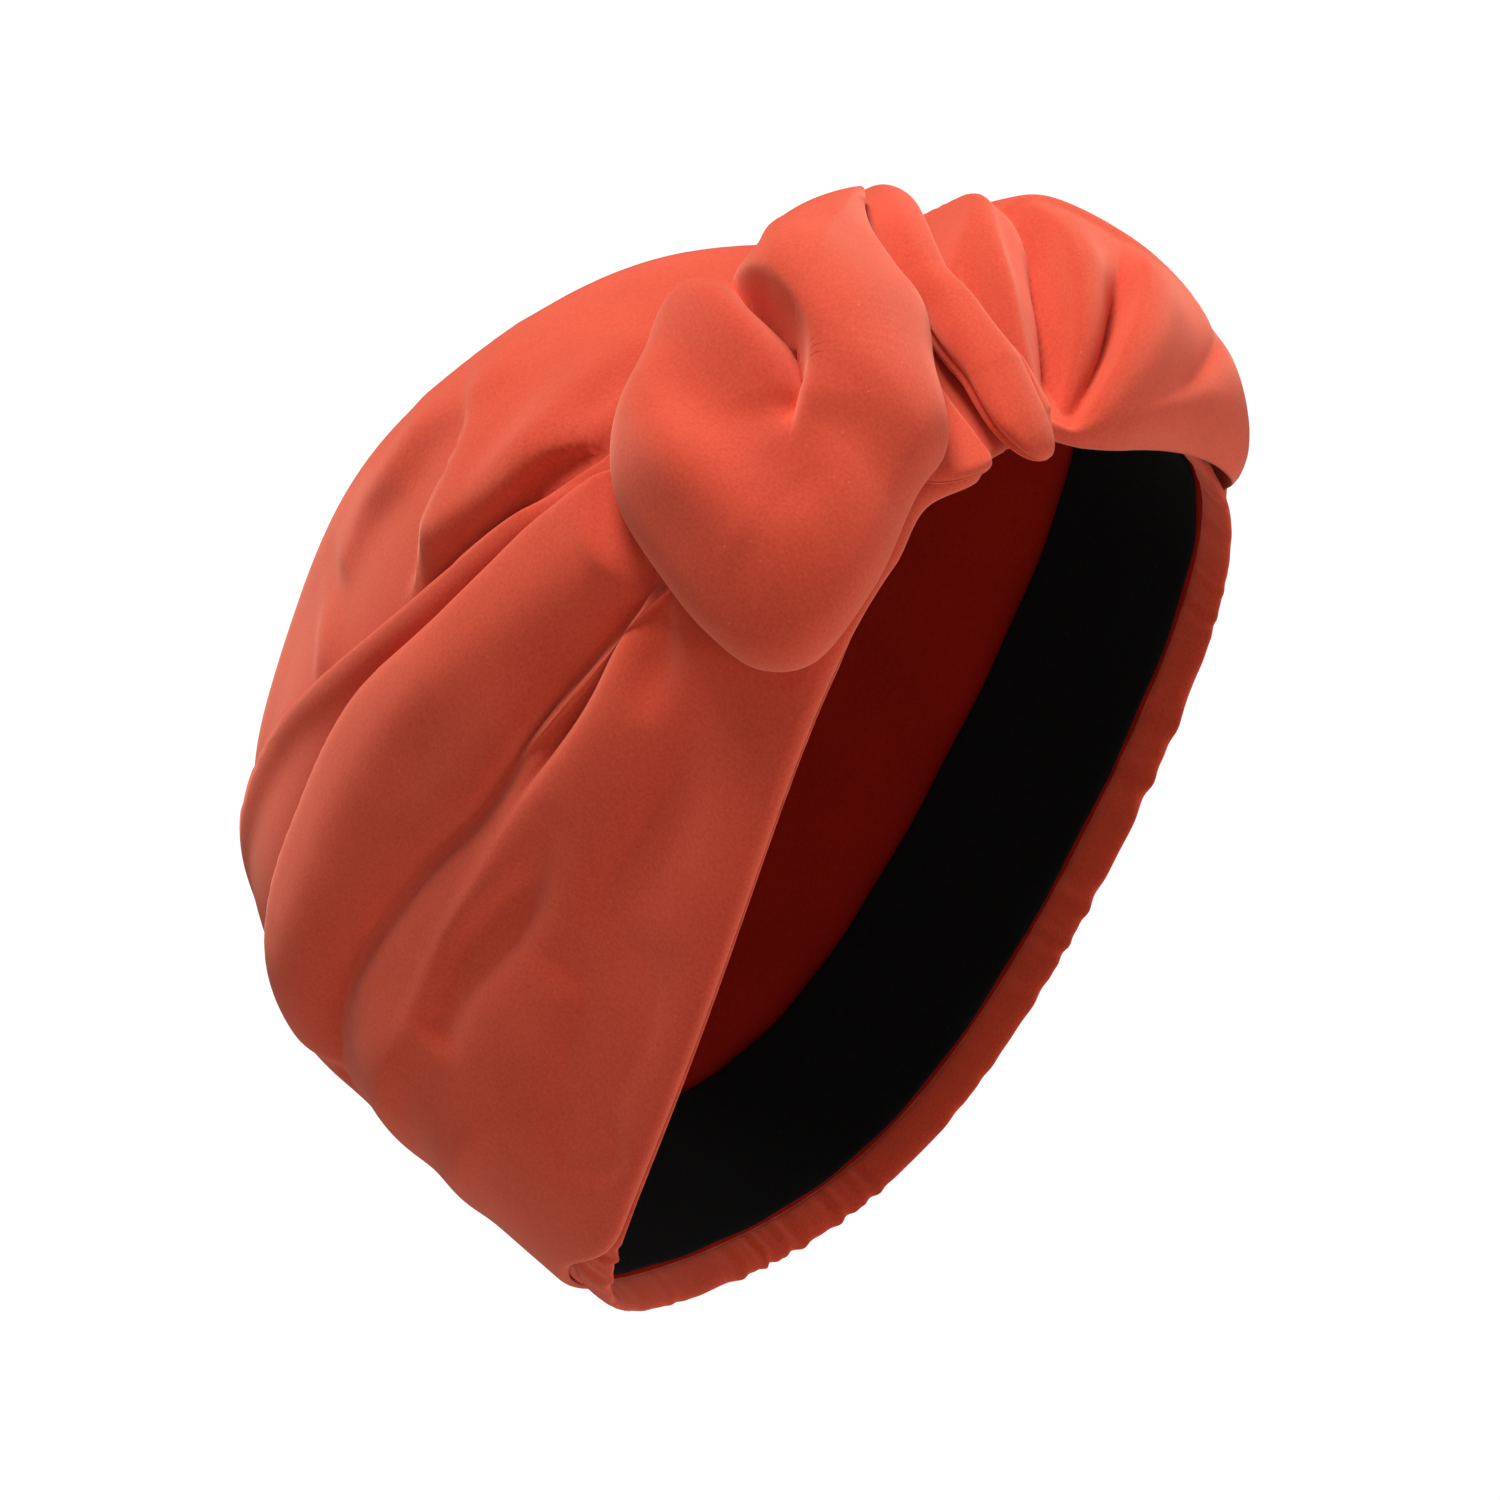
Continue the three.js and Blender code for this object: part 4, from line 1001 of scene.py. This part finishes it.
def casing_section(turn):
    angle = np.linspace(0, 2 * np.pi, 40, endpoint=False)[:, None]
    across = squared(np.cos(angle), casing_square)
    depth = np.sin(angle)
    around = np.radians(turn)
    uneven = 1 - pucker_swing[0] + waves(around, [pucker_swing])
    pucker = uneven * waves(around + waves(around, pucker_wander), pucker_waves)
    free = smooth(*free_on_left, turn) + smooth(*free_on_right, turn)
    rise = hem_foot(turn) + (1 + across) / 2 * hem_width / crown_depth
    rise = rise + pucker_edge * free * pucker * (1 - across) / 2
    half = hem_thickness / 2
    return rise, -half + half * depth * (1 - pucker_thinning + pucker_thinning * pucker)


# %% Make the band and the casing
sweatband = make_ring("sweatband_knit", "sweatband", "black_knit", 420, band_section)
hem = make_ring("hem_casing", "hem", "casing_cloth", 900, casing_section)

# %% [markdown]
# ## Cloth
# The cloth is brushed polyester with some stretch, woven and then sanded so that a fine nap
# stands up. That nap scatters light: the eye sees a matt orange red with a pink bloom where
# the surface turns away. Sheen in the Principled shader gives the bloom.


# %% Material tools
def srgb(code):
    """A linear colour from an sRGB hex code."""
    parts = [int(code[index : index + 2], 16) / 255 for index in (1, 3, 5)]
    return [c / 12.92 if c <= 0.04045 else ((c + 0.055) / 1.055) ** 2.4 for c in parts] + [1.0]


def add(tree, kind, settings=None, **links):
    """A new shader node with its settings, and links from other nodes' outputs to its inputs."""
    node = tree.nodes.new(kind)
    for name, value in (settings or {}).items():
        if isinstance(name, int) or name in node.inputs:
            node.inputs[name].default_value = value
        else:
            setattr(node, name, value)
    for name, output in links.items():
        tree.links.new(output, node.inputs[name.replace("_", " ")])
    return node


# %% Cloth material
dye_patch_mm = 18.18  # the dye takes a little unevenly, in soft patches
dye_share = 0.6
nap_mm = 0.625
shade_from = 0.45
pill_spacing_mm = 6.5
pill_mm = 0.5
pill_pale = 0.32  # share of the bloom's paler colour at the middle of a pill
thread_bump = 0.35
sheen_roughness = 0.6  # a broad bloom, from a nap that stands every way
cloth_shine = 0.12  # sanded cloth has hardly any reflection of its own
cloth_scatter = 0.8


def colour_ramp(tree, value, *stops):
    ramp = add(tree, "ShaderNodeValToRGB", Fac=value)
    for element, (position, colour) in zip(ramp.color_ramp.elements, stops):
        element.position = position
        element.color = colour
    return ramp.outputs["Color"]


def cloth_material(name, colour, shade, sheen, sheen_tint, roughness, thread_mm, depth_mm):
    material = bpy.data.materials.new(name)
    material.use_nodes = True
    tree = material.node_tree
    shader = tree.nodes["Principled BSDF"]
    place = add(tree, "ShaderNodeTexCoord").outputs["Object"]

    # Two tones of the dye, broken up by the nap
    dye_scale = {"Scale": 1000.0 / dye_patch_mm, "Detail": 4.0}
    dye = add(tree, "ShaderNodeTexNoise", dye_scale, Vector=place)
    nap = add(tree, "ShaderNodeTexNoise", {"Scale": 1000.0 / nap_mm, "Detail": 2.0}, Vector=place)
    weighed = {"operation": "MULTIPLY_ADD", 1: dye_share}
    tone = add(tree, "ShaderNodeMath", weighed, Value=dye.outputs["Fac"])
    tree.links.new(nap.outputs["Fac"], tone.inputs[2])
    tones = (shade_from, srgb(shade)), (1.0, srgb(colour))
    ground = colour_ramp(tree, tone.outputs["Value"], *tones)

    # Pills, the tiny balls of fibre that rubbing leaves
    pills = add(tree, "ShaderNodeTexVoronoi", {"Scale": 1000.0 / pill_spacing_mm}, Vector=place)
    pill_edge = 0.5 * pill_mm / pill_spacing_mm
    dots = (0.0, (pill_pale, pill_pale, pill_pale, 1.0)), (pill_edge, (0.0, 0.0, 0.0, 1.0))
    pill = colour_ramp(tree, pills.outputs["Distance"], *dots)
    mixing = {"data_type": "RGBA", "B": srgb(sheen_tint)}
    mixed = add(tree, "ShaderNodeMix", mixing, Factor=pill, A=ground)
    tree.links.new(mixed.outputs["Result"], shader.inputs["Base Color"])

    # Threads, as a faint bump
    thread_scale = {"Scale": 1000.0 / thread_mm, "Detail": 2.0}
    threads = add(tree, "ShaderNodeTexNoise", thread_scale, Vector=place)
    height = {"Strength": thread_bump, "Distance": depth_mm / 1000}
    bump = add(tree, "ShaderNodeBump", height, Height=threads.outputs["Fac"])
    tree.links.new(bump.outputs["Normal"], shader.inputs["Normal"])

    surface = {
        "Roughness": roughness,
        "Sheen Weight": sheen,
        "Sheen Roughness": sheen_roughness,
        "Sheen Tint": srgb(sheen_tint),
        "Specular IOR Level": cloth_shine,
        "Diffuse Roughness": cloth_scatter,
    }
    for setting, value in surface.items():
        shader.inputs[setting].default_value = value
    return material


# %% Materials
# Each: colour, shade, sheen, its tint, roughness, thread spacing and depth in mm. Real threads
# are about 0.2 mm apart; they are drawn coarser, so that they show at all.

# Woven and sanded: a matt burnt coral, with a pale bloom at the folds and a few pale pills
brushed_coral = cloth_material(
    "brushed_polyester_coral", "#df5135", "#ce4328", 0.42, "#ffb8a0", 0.8, 0.7, 0.1
)
# The same cloth from its unsanded side, with no bloom: a deep flat red, partly the
# wrong side's own deeper dye and partly painted shade for the inside of the crown
coral_reverse_painted_shade = cloth_material(
    "polyester_coral_wrong_side_painted_shade", "#a81c08", "#931505", 0.0, "#c05038", 0.9, 0.7, 0.1
)
# The same cloth drawn up over an elastic, with a bloom on every pucker; its touch deeper
# colour is painted shade on the downward-facing rim
casing_coral_painted_shade = cloth_material(
    "brushed_polyester_casing_painted_shade", "#dc4b2b", "#c83c21", 0.4, "#ffb4a0", 0.8, 0.7, 0.1
)
# Knitted elastic: a black that swallows the light and shows hardly more than its outline
elastic_knit = cloth_material(
    "elastic_knit_black", "#0c0d0c", "#060706", 0.08, "#5a5a5a", 0.85, 0.8, 0.15
)

for piece in (crown, wrap_right, wrap_left, knot_loop, knot_tuck, knot_roll):
    piece.data.materials.append(brushed_coral)
crown.data.materials.append(coral_reverse_painted_shade)
sweatband.data.materials.append(elastic_knit)
hem.data.materials.append(casing_coral_painted_shade)
cloths = (brushed_coral, coral_reverse_painted_shade, casing_coral_painted_shade, elastic_knit)
print("materials:", ", ".join(cloth.name for cloth in cloths))

# %% [markdown]
# ## Floor, light and camera
# A pale floor well below the cap, a soft light above it, a weaker one beside the gathers and
# a wide one low in front give the even light of a product picture. The camera stands where
# the pleats show best: low, to the wearer's right of the knot, and rolled, so that the
# opening shows as well.


# %% Stage
def add_area(name, place, aim, power, size):
    light = bpy.data.lights.new(name, "AREA")
    light.energy = power
    light.size = size
    lamp = bpy.data.objects.new(name, light)
    lamp.location = place
    lamp.rotation_euler = (aim - place).to_track_quat("-Z", "Y").to_euler()
    bpy.context.scene.collection.objects.link(lamp)


floor_drop = 0.4
floor_radius = 3.0
bpy.ops.mesh.primitive_circle_add(vertices=96, radius=floor_radius, fill_type="NGON")
floor = bpy.context.object
floor.name = "floor"
floor.location.z = -floor_drop
# Matt white paint: it throws a little light up into the cap and shows no reflection
floor_paint = bpy.data.materials.new("floor_paint")
floor_paint.use_nodes = True
paint = floor_paint.node_tree.nodes["Principled BSDF"]
paint.inputs["Base Color"].default_value = srgb("#f4f4f4")
paint.inputs["Roughness"].default_value = 0.9
floor.data.materials.append(floor_paint)
print("floor", floor_drop, "m below the middle of the opening")

# %% Camera
camera_distance = 1.0
camera_azimuth = math.radians(-58.45)
camera_elevation = math.radians(-6.04)
camera_roll = math.radians(-22.8)
lens_mm = 124.5
aim_point = Vector((-0.0135, 0.0114, 0.0369))

camera_data = bpy.data.cameras.new("camera")
camera_data.lens = lens_mm
camera_data.sensor_width = 36.0
camera_data.clip_start = 0.05
camera = bpy.data.objects.new("camera", camera_data)
level = math.cos(camera_elevation)
camera.location = camera_distance * Vector(
    (math.sin(camera_azimuth) * level, -math.cos(camera_azimuth) * level, math.sin(camera_elevation))
)
view = (aim_point - camera.location).normalized()
level_right = view.cross(Vector((0, 0, 1))).normalized()
level_up = level_right.cross(view)
right = level_right * math.cos(camera_roll) + level_up * math.sin(camera_roll)
up = level_up * math.cos(camera_roll) - level_right * math.sin(camera_roll)
turned = Matrix((right, up, -view)).transposed().to_4x4()
camera.matrix_world = Matrix.Translation(camera.location) @ turned
bpy.context.scene.collection.objects.link(camera)
bpy.context.scene.camera = camera
print("camera at", [round(c, 3) for c in camera.location], "lens", lens_mm, "mm")

# %% Light
cap_middle = Vector((0.0, 0.02, 0.04))
lamps = [  # name, metres up and right in the picture and towards the camera, watts, metres wide
    ("key", 1.0, -0.18, 0.4, 15.5, 0.4),
    ("side", 0.3, 1.0, 0.3, 2.8, 0.6),
    ("front", -0.5, -0.05, 1.1, 4.5, 1.0),
]
for name, upward, rightward, nearer, power, size in lamps:
    place = cap_middle + up * upward - view * nearer + right * rightward
    add_area(name, place, cap_middle, power, size)
print("lamps:", ", ".join(lamp[0] for lamp in lamps))

# %% Room
# The camera sees white paper behind the cap, and the cap gets only a dim light from the room.
room_light = 0.12
paper_white = 1.05
world = bpy.data.worlds.new("studio")
bpy.context.scene.world = world
world.use_nodes = True
sky = world.node_tree
white = srgb("#ffffff")
room = add(sky, "ShaderNodeBackground", {"Color": white, "Strength": room_light})
paper = add(sky, "ShaderNodeBackground", {"Color": white, "Strength": paper_white})
seen = add(sky, "ShaderNodeLightPath")
choose = add(sky, "ShaderNodeMixShader", Fac=seen.outputs["Is Camera Ray"])
sky.links.new(room.outputs[0], choose.inputs[1])
sky.links.new(paper.outputs[0], choose.inputs[2])
sky.links.new(choose.outputs[0], sky.nodes["World Output"].inputs["Surface"])
bpy.context.scene.view_settings.view_transform = "Standard"
